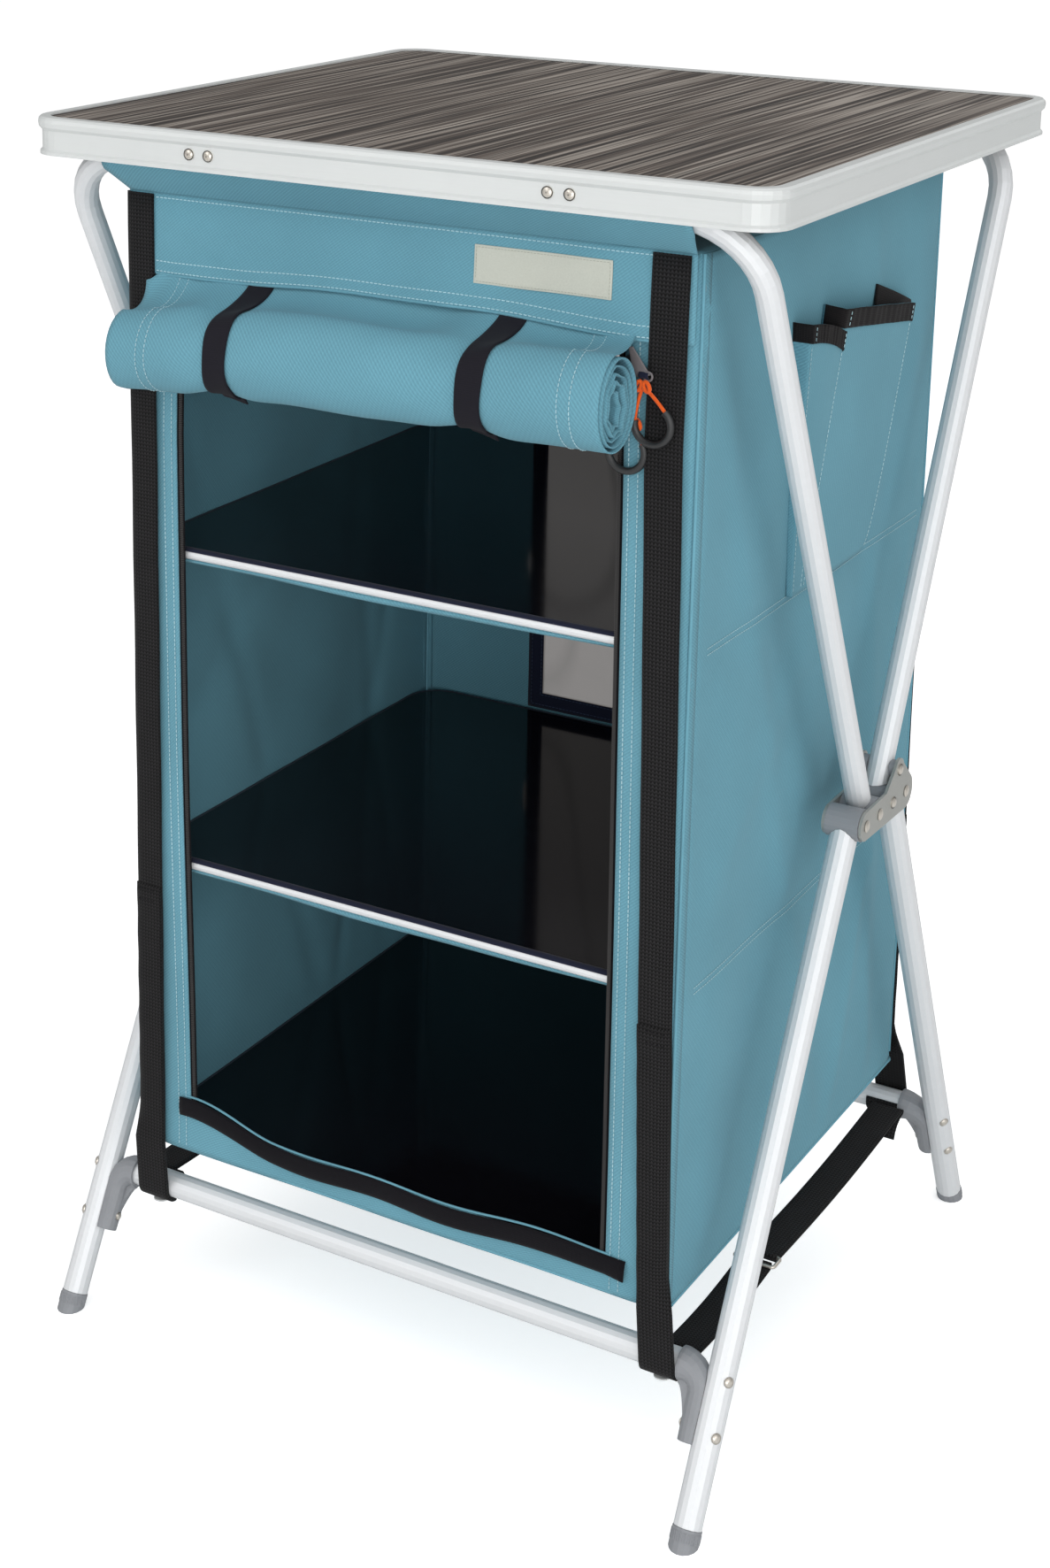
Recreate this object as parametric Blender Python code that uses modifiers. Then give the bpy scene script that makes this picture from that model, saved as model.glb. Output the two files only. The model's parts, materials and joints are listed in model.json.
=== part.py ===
"""Folding camping cupboard: tube frame, framed tabletop and a hanging fabric cabinet.

Metres, +Z up. X runs across the front, -Y is the front and the feet stand on z = 0.
"""
import math

import bmesh
import bpy
from mathutils import Matrix, Vector

# Overall sizes
TOP_WIDTH = 0.600
TOP_DEPTH = 0.548
TOP_HEIGHT = 0.978
GAP = 0.0003

# Tabletop rim profile and board
RIM_HEIGHT = 0.028
RIM_CORNER_R = 0.026
RIM_LIP = 0.0095
RIM_WALL = 0.0045
RIM_BULGE = 0.0030
RIM_BULGE_DEPTH = 0.0085
BOARD_THICKNESS = 0.0115
BOARD_RECESS = 0.0015

# Cloth and webbing thickness
FABRIC_T = 0.002
SLEEVE_T = 0.0010
WEB_WIDTH = 0.0285
WEB_T = 0.0016
WEB_GAP = 0.0004

# Hinge at mid height
HINGE_Z = 0.466
HINGE_Y = 0.006
PIVOT_PITCH = 0.0272
BARREL_R = 0.0125
BARREL_HALF = 0.0132
PLUG_LENGTH = 0.024
PLUG_CLEARANCE = 0.0003
PLATE_THICKNESS = 0.0022
PLATE_END_R = 0.0115
PLATE_HEEL_R = 0.0140
PLATE_LOBE_R = 0.0090
PLATE_LOBE_REACH = 0.0255
PIN_R = 0.0028
PIN_HEAD_R = 0.0046
PIN_HEAD_HEIGHT = 0.0016

# Tube frame
UPPER_TUBE_R = 0.0095
UPPER_BORE_R = 0.0080
LOWER_TUBE_R = 0.0105
LOWER_BORE_R = 0.0088
CROSSBAR_R = 0.0102
CROSSBAR_WALL = 0.0015
LEG_INSET = 0.024
LEG_X = TOP_WIDTH / 2 - LEG_INSET
BOW_BEND_R = 0.058
BOW_SEAT_GAP = 0.0007
BOW_HEIGHT = (TOP_HEIGHT - BOARD_RECESS - BOARD_THICKNESS - BOW_SEAT_GAP - SLEEVE_T - GAP - UPPER_TUBE_R)
FRONT_BOW_INSET = 0.0212
REAR_BOW_INSET = 0.0229
FRONT_BOW_Y = FRONT_BOW_INSET - TOP_DEPTH / 2
REAR_BOW_Y = TOP_DEPTH / 2 - REAR_BOW_INSET
FRONT_FOOT_SPREAD = 0.0066
REAR_FOOT_SPREAD = -0.0032
CROSSBAR_HEIGHT = 0.105

# Elbows and feet
ELBOW_SLEEVE_R = 0.0128
ELBOW_ARM_R = 0.0090
ELBOW_ARM_LENGTH = 0.051
ELBOW_ARM_HUG = 0.0065
ELBOW_INSET = 0.0312
ELBOW_START_X = LEG_X - ELBOW_INSET
FOOT_R = 0.0109
FOOT_HEIGHT = 0.0125
FOOT_STEM = 0.020

# Fabric cabinet, hung between the bows
BOX_SIDE_GAP = 0.041
BOX_FRONT_SETBACK = 0.0173
BOX_REAR_SETBACK = 0.0356
BOX_TOP_DROP = 0.0285
BOX_FLOOR_GAP = 0.043
BOX_HALF_X = LEG_X - BOX_SIDE_GAP
BOX_FRONT_Y = FRONT_BOW_Y + BOX_FRONT_SETBACK
BOX_REAR_Y = REAR_BOW_Y - BOX_REAR_SETBACK
BOX_BOTTOM_Z = CROSSBAR_HEIGHT + BOX_FLOOR_GAP
BOX_TOP_Z = BOW_HEIGHT - BOX_TOP_DROP
DOOR_STRIP = 0.053
BAND_HEIGHT = 0.0605
SILL_HEIGHT = 0.042
OPENING_HALF_X = BOX_HALF_X - DOOR_STRIP
OPENING_BOTTOM_Z = BOX_BOTTOM_Z + SILL_HEIGHT
OPENING_TOP_Z = BOX_TOP_Z - BAND_HEIGHT
WINDOW_SIDE = 0.1185
WINDOW_SILL = 0.2595
WINDOW_DROP = 0.085
WINDOW_CORNER_R = 0.012
WINDOW_HALF_X = BOX_HALF_X - WINDOW_SIDE
WINDOW_BOTTOM_Z = BOX_BOTTOM_Z + WINDOW_SILL
WINDOW_TOP_Z = BOX_TOP_Z - WINDOW_DROP
SLEEVE_END_GAP = 0.004
SLEEVE_HALF_X = LEG_X - BOW_BEND_R - SLEEVE_END_GAP

# Shelves, by height above the cabinet's bottom
SHELF_T = 0.006
SHELF_RISES = (0.5025, 0.2482)
SHELF_REAR_GAP = 0.005
SHELF_CORNER_R = 0.030
RAIL_R = 0.0042
RAIL_SETBACK = 0.0085
RAIL_Y = BOX_FRONT_Y + RAIL_SETBACK

# Rolled door
DOOR_HALF_X = OPENING_HALF_X + 0.005
ROLL_LEFT_INSET = 0.0165
ROLL_RIGHT_INSET = 0.042
ROLL_LEFT_X = ROLL_LEFT_INSET - BOX_HALF_X
ROLL_RIGHT_X = BOX_HALF_X - ROLL_RIGHT_INSET
ROLL_FORWARD = 0.0375
ROLL_DROP = 0.038
ROLL_Y = BOX_FRONT_Y - ROLL_FORWARD
ROLL_Z = OPENING_TOP_Z - ROLL_DROP
ROLL_HALF_Y = 0.0275
ROLL_HALF_Z = 0.0325
ROLL_SHEET_T = 0.0022
ROLL_PITCH = 0.0042
ROLL_TURNS = 4.1
ROLL_STEPS = 24
TIE_WIDTH = 0.022
TIE_T = 0.0010
TIE_LEFT_INSET = 0.113
TIE_RIGHT_INSET = 0.152
TIE_X = (TIE_LEFT_INSET - BOX_HALF_X, BOX_HALF_X - TIE_RIGHT_INSET)

# Webbing on the cabinet and under it
WEB_TOP_INSET = 0.0225
WEB_TOP_X = BOX_HALF_X - WEB_TOP_INSET
WEB_BOTTOM_X = ELBOW_START_X - WEB_WIDTH / 2 - 0.00055
BASE_STRAP_INSET = 0.0078
BASE_STRAP_X = ELBOW_START_X - BASE_STRAP_INSET
STRAP_FOLD_R = 0.0015
STRAP_TAIL = 0.032
BUCKLE_SETBACK = 0.1625
BUCKLE_Y = BOX_FRONT_Y + BUCKLE_SETBACK
BUCKLE_BAR_GAP = 0.014
BUCKLE_WIRE_R = 0.0015
BUCKLE_CORNER_R = 0.0035

# Zip sliders and side pockets
ZIP_X = OPENING_HALF_X + 0.0025
SLIDER_DROP = 0.0195
SLIDER_Z = OPENING_TOP_Z - SLIDER_DROP
SLIDER_SIZE = (0.0085, 0.0052, 0.0140)
POCKET_BULGE = 0.016
POCKET_FOOT_BULGE = 0.0035
POCKET_CORNER = 0.010
POCKET_DROP = 0.079
POCKET_DEPTH = 0.199
FRONT_POCKET_MOUTH = (0.1455, 0.2370)
FRONT_POCKET_FOOT = (0.1645, 0.1855)
REAR_POCKET_MOUTH = (0.2390, 0.3865)
REAR_POCKET_FOOT = (0.1895, 0.3125)

MATERIALS = {
    "aluminium_tube": ((0.78, 0.79, 0.81), 0.38, 0.9),
    "aluminium_rim": ((0.86, 0.88, 0.88), 0.42, 0.6),
    "grey_plastic": ((0.42, 0.44, 0.48), 0.55, 0.0),
    "hinge_steel": ((0.55, 0.56, 0.54), 0.45, 0.7),
    "rivet_steel": ((0.72, 0.68, 0.62), 0.35, 0.9),
    "board_brown": ((0.16, 0.13, 0.12), 0.5, 0.0),
    "shelf_black": ((0.015, 0.013, 0.018), 0.2, 0.0),
    "teal_fabric": ((0.12, 0.31, 0.39), 0.9, 0.0),
    "window_net": ((0.07, 0.065, 0.06), 0.8, 0.0),
    "black_webbing": ((0.02, 0.02, 0.022), 0.85, 0.0),
    "strap_navy": ((0.03, 0.03, 0.045), 0.8, 0.0),
    "zip_metal": ((0.10, 0.10, 0.11), 0.4, 0.5),
}

X_ALONG = Matrix(((0, 0, 1, 0), (1, 0, 0, 0), (0, 1, 0, 0), (0, 0, 0, 1)))


def clear_scene():
    """Start from an empty scene with one collection for parts and one for cutters."""
    for obj in list(bpy.data.objects):
        bpy.data.objects.remove(obj, do_unlink=True)
    groups = []
    for name in ("camping_cupboard", "cutters"):
        group = bpy.data.collections.new(name)
        bpy.context.scene.collection.children.link(group)
        groups.append(group)
    return groups


PARTS, CUTTERS = clear_scene()


def material(name):
    """Principled material of one finish, made once."""
    found = bpy.data.materials.get(name)
    if found:
        return found
    colour, rough, metal = MATERIALS[name]
    made = bpy.data.materials.new(name)
    made.use_nodes = True
    shader = made.node_tree.nodes["Principled BSDF"]
    shader.inputs["Base Color"].default_value = (*colour, 1.0)
    shader.inputs["Roughness"].default_value = rough
    shader.inputs["Metallic"].default_value = metal
    return made


def add_part(obj, finish, pivot=None):
    """Put a piece in the parts collection, with its finish and its pivot empty."""
    PARTS.objects.link(obj)
    obj.data.materials.append(material(finish))
    if pivot is not None:
        obj.parent = pivot
        obj.matrix_parent_inverse = Matrix.Translation(-pivot.location)
    return obj


def pivot_at(name, location):
    """Empty on a joint's axis."""
    empty = bpy.data.objects.new(name, None)
    empty.empty_display_size = 0.03
    empty.location = location
    PARTS.objects.link(empty)
    return empty


def as_cutter(obj):
    """Keep a helper solid out of the object."""
    CUTTERS.objects.link(obj)
    obj.display_type = "WIRE"
    obj.hide_render = True
    return obj


def boolean(obj, other, operation="DIFFERENCE"):
    """Exact boolean of a piece with a helper solid."""
    step = obj.modifiers.new(operation.lower(), "BOOLEAN")
    step.operation = operation
    step.solver = "EXACT"
    step.object = other


def mesh_object(name, bm, location=(0, 0, 0), smooth=True):
    """Object from a bmesh, shaded smooth with sharp edges kept."""
    bmesh.ops.recalc_face_normals(bm, faces=bm.faces)
    mesh = bpy.data.meshes.new(name)
    bm.to_mesh(mesh)
    bm.free()
    if smooth:
        mesh.shade_smooth()
        mesh.set_sharp_from_angle(angle=math.radians(35))
    obj = bpy.data.objects.new(name, mesh)
    obj.location = location
    return obj


def box(name, low, high, corner=0.0, segments=5, edges="Z", rear_only=False):
    """Box between two corners, with its edges along one axis rounded, or only the rear ones."""
    size = [b - a for a, b in zip(low, high)]
    centre = [(a + b) / 2 for a, b in zip(low, high)]
    bm = bmesh.new()
    bmesh.ops.create_cube(bm, size=1.0)
    bmesh.ops.scale(bm, vec=size, verts=bm.verts)
    if corner > 0:
        axis = "XYZ".index(edges)
        along = [e for e in bm.edges
                 if abs((e.verts[0].co - e.verts[1].co)[axis]) > size[axis] * 0.9
                 and (e.verts[0].co.y > 0 or not rear_only)]
        bmesh.ops.bevel(bm, geom=along, offset=corner, segments=segments, affect="EDGES", profile=0.5)
    return mesh_object(name, bm, centre)


def rod(name, start, end, radius, sides=16):
    """Solid cylinder from one point to another."""
    start, end = Vector(start), Vector(end)
    run = end - start
    bm = bmesh.new()
    bmesh.ops.create_cone(bm, cap_ends=True, segments=sides, radius1=radius, radius2=radius, depth=run.length)
    obj = mesh_object(name, bm, (start + end) / 2)
    obj.rotation_euler = run.to_track_quat("Z", "Y").to_euler()
    return obj


def tube_mesh(name, points, radius, factors=None, resolution=6, closed=False):
    """Round bar along points, as a welded mesh."""
    curve = bpy.data.curves.new(name, "CURVE")
    curve.dimensions = "3D"
    curve.bevel_depth = radius
    curve.bevel_resolution = resolution
    curve.resolution_u = 1
    curve.render_resolution_u = 0
    curve.use_fill_caps = True
    spline = curve.splines.new("POLY")
    spline.points.add(len(points) - 1)
    for i, point in enumerate(points):
        spline.points[i].co = (*point, 1.0)
        spline.points[i].radius = factors[i] if factors else 1.0
    spline.use_cyclic_u = closed
    guide = bpy.data.objects.new(name, curve)
    bpy.context.scene.collection.objects.link(guide)
    return mesh_from_curve(name, guide)


def mesh_from_curve(name, guide):
    """Welded mesh object in place of a curve object."""
    graph = bpy.context.evaluated_depsgraph_get()
    graph.update()
    mesh = bpy.data.meshes.new_from_object(guide.evaluated_get(graph))
    place = guide.matrix_world.copy()
    bm = bmesh.new()
    bm.from_mesh(mesh)
    bmesh.ops.remove_doubles(bm, verts=bm.verts, dist=0.00001)
    bmesh.ops.recalc_face_normals(bm, faces=bm.faces)
    bm.to_mesh(mesh)
    bm.free()
    mesh.shade_smooth()
    mesh.set_sharp_from_angle(angle=math.radians(35))
    bpy.data.objects.remove(guide, do_unlink=True)
    obj = bpy.data.objects.new(name, mesh)
    obj.matrix_world = place
    return obj


def extrusion(name, outline, half, matrix):
    """Flat outline given a thickness, laid in place by a matrix."""
    curve = bpy.data.curves.new(name, "CURVE")
    curve.dimensions = "2D"
    curve.fill_mode = "BOTH"
    curve.extrude = half
    curve.resolution_u = 1
    curve.render_resolution_u = 0
    spline = curve.splines.new("POLY")
    spline.points.add(len(outline) - 1)
    for i, (a, b) in enumerate(outline):
        spline.points[i].co = (a, b, 0.0, 1.0)
    spline.use_cyclic_u = True
    guide = bpy.data.objects.new(name, curve)
    guide.matrix_world = matrix
    bpy.context.scene.collection.objects.link(guide)
    bpy.context.view_layer.update()
    return mesh_from_curve(name, guide)


def arc(centre, radius, start, stop, steps):
    """Points on an arc, angles in degrees from the first axis towards the second."""
    if not isinstance(radius, tuple):
        radius = (radius, radius)
    turn = [math.radians(start + (stop - start) * i / steps) for i in range(steps + 1)]
    return [(centre[0] + radius[0] * math.cos(t), centre[1] + radius[1] * math.sin(t)) for t in turn]


def sheet_outline(path, thickness):
    """Closed outline of a thin sheet whose middle follows a path."""
    half = thickness / 2
    left, right = [], []
    for i, point in enumerate(path):
        before = Vector(path[max(i - 1, 0)])
        after = Vector(path[min(i + 1, len(path) - 1)])
        run = (after - before).normalized()
        side = Vector((-run.y, run.x)) * half
        left.append((point[0] + side.x, point[1] + side.y))
        right.append((point[0] - side.x, point[1] - side.y))
    return left + right[::-1]


def sheet(name, path, thickness, x_low, x_high):
    """Sheet seen edge on in the Y-Z plane, running across X."""
    place = Matrix.Translation(((x_low + x_high) / 2, 0, 0)) @ X_ALONG
    return extrusion(name, sheet_outline(path, thickness), (x_high - x_low) / 2, place)


def pivot_y(index):
    """Y of the four hinge pins in a row, front to back."""
    return HINGE_Y + (index - 1.5) * PIVOT_PITCH


def upward(tilt):
    """Direction of a tube that leans from the vertical, back when positive."""
    return Vector((0, math.sin(tilt), math.cos(tilt)))


def tilt_to(bar_y, index):
    """Lean of a bow whose bar sits over the tabletop's edge, from the vertical."""
    return math.atan2(bar_y - pivot_y(index), BOW_HEIGHT - HINGE_Z)


UPPER_FRONT_TILT = tilt_to(FRONT_BOW_Y, 1)
UPPER_REAR_TILT = tilt_to(REAR_BOW_Y, 2)
FRONT_LEG_PIVOT = Vector((0, pivot_y(0), HINGE_Z))
FRONT_BOW_PIVOT = Vector((0, pivot_y(1), HINGE_Z))
REAR_BOW_PIVOT = Vector((0, pivot_y(2), HINGE_Z))
REAR_LEG_PIVOT = Vector((0, pivot_y(3), HINGE_Z))


def leg_direction(pivot, foot_y):
    """Unit run from a hinge pin to its foot on the floor."""
    return (Vector((0, foot_y, 0)) - pivot).normalized()


FRONT_LEG_RUN = leg_direction(FRONT_LEG_PIVOT, -TOP_DEPTH / 2 - FRONT_FOOT_SPREAD)
REAR_LEG_RUN = leg_direction(REAR_LEG_PIVOT, TOP_DEPTH / 2 + REAR_FOOT_SPREAD)


def crossbar_centre(pivot, run):
    """Where a leg's line passes the crossbar's height."""
    return pivot + run * ((CROSSBAR_HEIGHT - pivot.z) / run.z)


FRONT_BAR = crossbar_centre(FRONT_LEG_PIVOT, FRONT_LEG_RUN)
REAR_BAR = crossbar_centre(REAR_LEG_PIVOT, REAR_LEG_RUN)


def bow_centre(pivot, tilt):
    """Centre of a bow's top bar."""
    return pivot + upward(tilt) * ((BOW_HEIGHT - HINGE_Z) / math.cos(tilt))


FRONT_BOW_BAR = bow_centre(FRONT_BOW_PIVOT, UPPER_FRONT_TILT)
REAR_BOW_BAR = bow_centre(REAR_BOW_PIVOT, UPPER_REAR_TILT)
TUBE_START = BARREL_R / 2


def saddle(tube, pivot):
    """Hollow a tube's end so that it sits round its hinge barrel."""
    across = Vector((LEG_X * 1.2, 0, 0))
    boolean(tube, as_cutter(rod(f"{tube.name}_saddle", pivot - across, pivot + across, BARREL_R + GAP, 20)))


def make_bow(name, pivot, tilt, empty):
    """Upper bow: two legs and a top bar bent from one tube."""
    run = upward(tilt)
    length = (BOW_HEIGHT - HINGE_Z) / math.cos(tilt)
    half = [(LEG_X, TUBE_START)] + arc((LEG_X - BOW_BEND_R, length - BOW_BEND_R), BOW_BEND_R, 0, 90, 9)
    flat = half + [(-a, b) for a, b in half[::-1]]
    points = [pivot + Vector((a, 0, 0)) + run * b for a, b in flat]
    obj = tube_mesh(name, points, UPPER_TUBE_R)
    saddle(obj, pivot)
    longer = [points[0] - run * 0.005, *points, points[-1] - run * 0.005]
    boolean(obj, as_cutter(tube_mesh(f"{name}_bore", longer, UPPER_BORE_R)))
    return add_part(obj, "aluminium_tube", empty)


def make_leg(name, side, pivot, run, empty):
    """Lower leg tube from the hinge plug to the foot cap."""
    top = pivot + Vector((side * LEG_X, 0, 0))
    length = -pivot.z / run.z - FOOT_HEIGHT
    obj = rod(name, top + run * TUBE_START, top + run * length, LOWER_TUBE_R)
    saddle(obj, pivot)
    boolean(obj, as_cutter(rod(f"{name}_bore", top, top + run * (length + 0.01), LOWER_BORE_R)))
    return add_part(obj, "aluminium_tube", empty)


def make_foot(name, side, pivot, run, empty):
    """Foot cap with a stem up the leg, worn flat where it meets the floor."""
    top = pivot + Vector((side * LEG_X, 0, 0))
    floor = -pivot.z / run.z
    start = top + run * (floor - FOOT_HEIGHT + GAP)
    obj = rod(name, start, top + run * (floor + 0.012), FOOT_R)
    stem = rod(f"{name}_stem", start - run * (FOOT_STEM - 0.001), start + run * 0.004, LOWER_BORE_R - GAP)
    boolean(obj, as_cutter(stem), "UNION")
    x, y = top.x, (top + run * floor).y
    boolean(obj, as_cutter(box(f"{name}_floor", (x - 0.05, y - 0.05, -0.05), (x + 0.05, y + 0.05, 0.0))))
    return add_part(obj, "grey_plastic", empty)


def make_crossbar(name, centre, empty):
    """Lower crossbar between two elbows."""
    reach = ELBOW_START_X + 0.0009
    ends = (centre - Vector((reach, 0, 0)), centre + Vector((reach, 0, 0)))
    obj = rod(name, *ends, CROSSBAR_R)
    past = Vector((0.002, 0, 0))
    boolean(obj, as_cutter(rod(f"{name}_bore", ends[0] - past, ends[1] + past, CROSSBAR_R - CROSSBAR_WALL)))
    return add_part(obj, "aluminium_tube", empty)


def make_elbow(name, side, centre, run, empty):
    """Moulded elbow: a collar on the crossbar that turns down and hugs the leg's inner side."""
    arm_x = LEG_X - LOWER_TUBE_R - GAP - ELBOW_ARM_R + ELBOW_ARM_HUG
    bend = arm_x - ELBOW_START_X - 0.0022
    turn = arc((arm_x - bend, -bend), bend, 90, 0, 6)
    flat = [(ELBOW_START_X, 0.0)] + turn + [(arm_x, -ELBOW_ARM_LENGTH * 0.5), (arm_x, -ELBOW_ARM_LENGTH)]
    points = [centre + Vector((side * a, 0, 0)) - run * b for a, b in flat]
    slim = ELBOW_ARM_R / ELBOW_SLEEVE_R
    factors = [1.0] + [1.0 - (1.0 - slim) * i / 6 for i in range(7)] + [slim, slim * 0.94]
    obj = tube_mesh(name, points, ELBOW_SLEEVE_R, factors)
    bore = rod(f"{name}_bore", centre + Vector((side * (ELBOW_START_X - 0.004), 0, 0)),
               centre + Vector((side * (ELBOW_START_X + 0.0012), 0, 0)), CROSSBAR_R + GAP)
    boolean(obj, as_cutter(bore))
    leg_point = centre + Vector((side * LEG_X, 0, 0))
    leg = rod(f"{name}_leg", leg_point - run * 0.08, leg_point + run * 0.12, LOWER_TUBE_R + GAP, 32)
    boolean(obj, as_cutter(leg))
    return add_part(obj, "grey_plastic", empty)


def plate_outline():
    """Hinge plate outline about the first pin: a bar under four pins with a raised lobe."""
    last = 3 * PIVOT_PITCH
    lobe = Vector((2 * PIVOT_PITCH, 0)) + Vector((math.sin(UPPER_REAR_TILT), math.cos(UPPER_REAR_TILT))) \
        * PLATE_LOBE_REACH
    waist = (1.45 * PIVOT_PITCH, PLATE_END_R * 1.05)
    return (arc((0, 0), PLATE_END_R, 100, 262, 10) + arc((last, 0), PLATE_HEEL_R, 272, 400, 10)
            + arc((lobe.x, lobe.y), PLATE_LOBE_R, 20, 155, 8) + [waist])


def make_plate(name, x_centre):
    """Steel hinge plate with holes for the turning pins."""
    place = Matrix.Translation((x_centre, pivot_y(0), HINGE_Z)) @ X_ALONG
    obj = extrusion(name, plate_outline(), PLATE_THICKNESS / 2, place)
    for index in (0, 1, 3):
        at = Vector((x_centre, pivot_y(index), HINGE_Z))
        drill = rod(f"{name}_hole_{index}", at - Vector((0.005, 0, 0)), at + Vector((0.005, 0, 0)), PIN_R + GAP)
        boolean(obj, as_cutter(drill))
    return add_part(obj, "hinge_steel")


def make_barrel(name, side, pivot, run, bore_r, empty, drilled=True):
    """Plastic hinge barrel with a plug that goes up its tube."""
    at = pivot + Vector((side * LEG_X, 0, 0))
    across = Vector((BARREL_HALF, 0, 0))
    obj = rod(name, at - across, at + across, BARREL_R, sides=20)
    plug = rod(f"{name}_plug", at, at + run * (BARREL_R + PLUG_LENGTH), bore_r - PLUG_CLEARANCE)
    boolean(obj, as_cutter(plug), "UNION")
    if drilled:
        boolean(obj, as_cutter(rod(f"{name}_hole", at - across * 1.5, at + across * 1.5, PIN_R + GAP)))
    return add_part(obj, "grey_plastic", empty)


def make_pin(name, side, pivot):
    """Hinge pin with a domed head on each end, turned about its own axis."""
    reach = BARREL_HALF + GAP + PLATE_THICKNESS + GAP
    end = reach + PIN_HEAD_HEIGHT
    profile = [(0.0, end), (PIN_HEAD_R * 0.6, end - 0.0003), (PIN_HEAD_R, reach + 0.0004), (PIN_HEAD_R, reach),
               (PIN_R, reach), (PIN_R, -reach), (PIN_HEAD_R, -reach), (PIN_HEAD_R, -reach - 0.0004),
               (PIN_HEAD_R * 0.6, -end + 0.0003), (0.0, -end)]
    bm = bmesh.new()
    verts = [bm.verts.new((r, 0, z)) for r, z in profile]
    for a, b in zip(verts, verts[1:]):
        bm.edges.new((a, b))
    obj = mesh_object(name, bm, pivot + Vector((side * LEG_X, 0, 0)), smooth=False)
    turn = obj.modifiers.new("turned", "SCREW")
    turn.steps = turn.render_steps = 14
    turn.use_merge_vertices = True
    turn.merge_threshold = 0.00001
    obj.rotation_euler = (0, math.radians(90), 0)
    return add_part(obj, "rivet_steel")


def make_hinges(pivots):
    """Both hinges: plates, barrels and turning pins."""
    offset = BARREL_HALF + GAP + PLATE_THICKNESS / 2
    for word, side in (("left", -1), ("right", 1)):
        make_plate(f"hinge_plate_outer_{word}", side * (LEG_X + offset))
        make_plate(f"hinge_plate_inner_{word}", side * (LEG_X - offset))
        make_barrel(f"barrel_front_leg_{word}", side, FRONT_LEG_PIVOT, FRONT_LEG_RUN, LOWER_BORE_R,
                    pivots["front_leg"])
        make_barrel(f"barrel_front_bow_{word}", side, FRONT_BOW_PIVOT, upward(UPPER_FRONT_TILT), UPPER_BORE_R,
                    pivots["front_bow"])
        make_barrel(f"barrel_rear_bow_{word}", side, REAR_BOW_PIVOT, upward(UPPER_REAR_TILT), UPPER_BORE_R,
                    None, drilled=False)
        make_barrel(f"barrel_rear_leg_{word}", side, REAR_LEG_PIVOT, REAR_LEG_RUN, LOWER_BORE_R,
                    pivots["rear_leg"])
        make_pin(f"pin_front_leg_{word}", side, FRONT_LEG_PIVOT)
        make_pin(f"pin_front_bow_{word}", side, FRONT_BOW_PIVOT)
        make_pin(f"pin_rear_leg_{word}", side, REAR_LEG_PIVOT)


def make_frame(pivots):
    """Bows, legs, crossbars, elbows and feet."""
    make_bow("upper_front_bow", FRONT_BOW_PIVOT, UPPER_FRONT_TILT, pivots["front_bow"])
    make_bow("upper_rear_bow", REAR_BOW_PIVOT, UPPER_REAR_TILT, None)
    sets = (("front", FRONT_LEG_PIVOT, FRONT_LEG_RUN, FRONT_BAR, pivots["front_leg"]),
            ("rear", REAR_LEG_PIVOT, REAR_LEG_RUN, REAR_BAR, pivots["rear_leg"]))
    for where, pivot, run, bar, empty in sets:
        make_crossbar(f"{where}_crossbar", bar, empty)
        for word, side in (("left", -1), ("right", 1)):
            make_leg(f"{where}_leg_{word}", side, pivot, run, empty)
            make_foot(f"{where}_foot_{word}", side, pivot, run, empty)
            make_elbow(f"{where}_elbow_{word}", side, bar, run, empty)


def rounded_loop(inset, steps=6):
    """Rounded rectangle inside the tabletop's outline, as points in order."""
    half_x, half_y = TOP_WIDTH / 2 - inset, TOP_DEPTH / 2 - inset
    corner = RIM_CORNER_R - inset
    points = []
    for sx, sy, start in ((1, 1, 0), (-1, 1, 90), (-1, -1, 180), (1, -1, 270)):
        centre = (sx * (half_x - corner), sy * (half_y - corner))
        points += arc(centre, corner, start, start + 90, steps)
    return points


def rim_profile():
    """Section of the rim: inset from the outer face and height, all the way round."""
    top, low = TOP_HEIGHT, TOP_HEIGHT - RIM_HEIGHT
    board_low = top - BOARD_RECESS - BOARD_THICKNESS - GAP
    return [(RIM_LIP, top), (0.0022, top), (0.0005, top - 0.0016), (0.0, top - 0.0040),
            (0.0007, top - RIM_BULGE_DEPTH + 0.0010), (RIM_BULGE, top - RIM_BULGE_DEPTH - 0.0015),
            (RIM_BULGE, low + 0.0040), (0.0012, low + 0.0024), (0.0012, low), (RIM_WALL, low),
            (RIM_WALL, board_low - 0.0014), (RIM_LIP - 0.001, board_low - 0.0014),
            (RIM_LIP - 0.001, board_low), (RIM_WALL, board_low),
            (RIM_WALL, top - BOARD_RECESS + GAP), (RIM_LIP, top - BOARD_RECESS + GAP)]


def make_rim(empty):
    """Extruded rim bent round the board: its section lofted along a rounded rectangle."""
    bm = bmesh.new()
    rings = []
    for inset, z in rim_profile():
        rings.append([bm.verts.new((x, y, z)) for x, y in rounded_loop(inset)])
    count = len(rings[0])
    for ring, following in zip(rings, rings[1:] + rings[:1]):
        for i in range(count):
            j = (i + 1) % count
            bm.faces.new((ring[i], ring[j], following[j], following[i]))
    return add_part(mesh_object("tabletop_rim", bm), "aluminium_rim", empty)


def make_tabletop(empty):
    """Rim and the board that it holds."""
    make_rim(empty)
    inset = RIM_WALL + GAP
    high = TOP_HEIGHT - BOARD_RECESS
    board = box("tabletop_board", (-TOP_WIDTH / 2 + inset, -TOP_DEPTH / 2 + inset, high - BOARD_THICKNESS),
                (TOP_WIDTH / 2 - inset, TOP_DEPTH / 2 - inset, high), RIM_CORNER_R - inset)
    add_part(board, "board_brown", empty)


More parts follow.
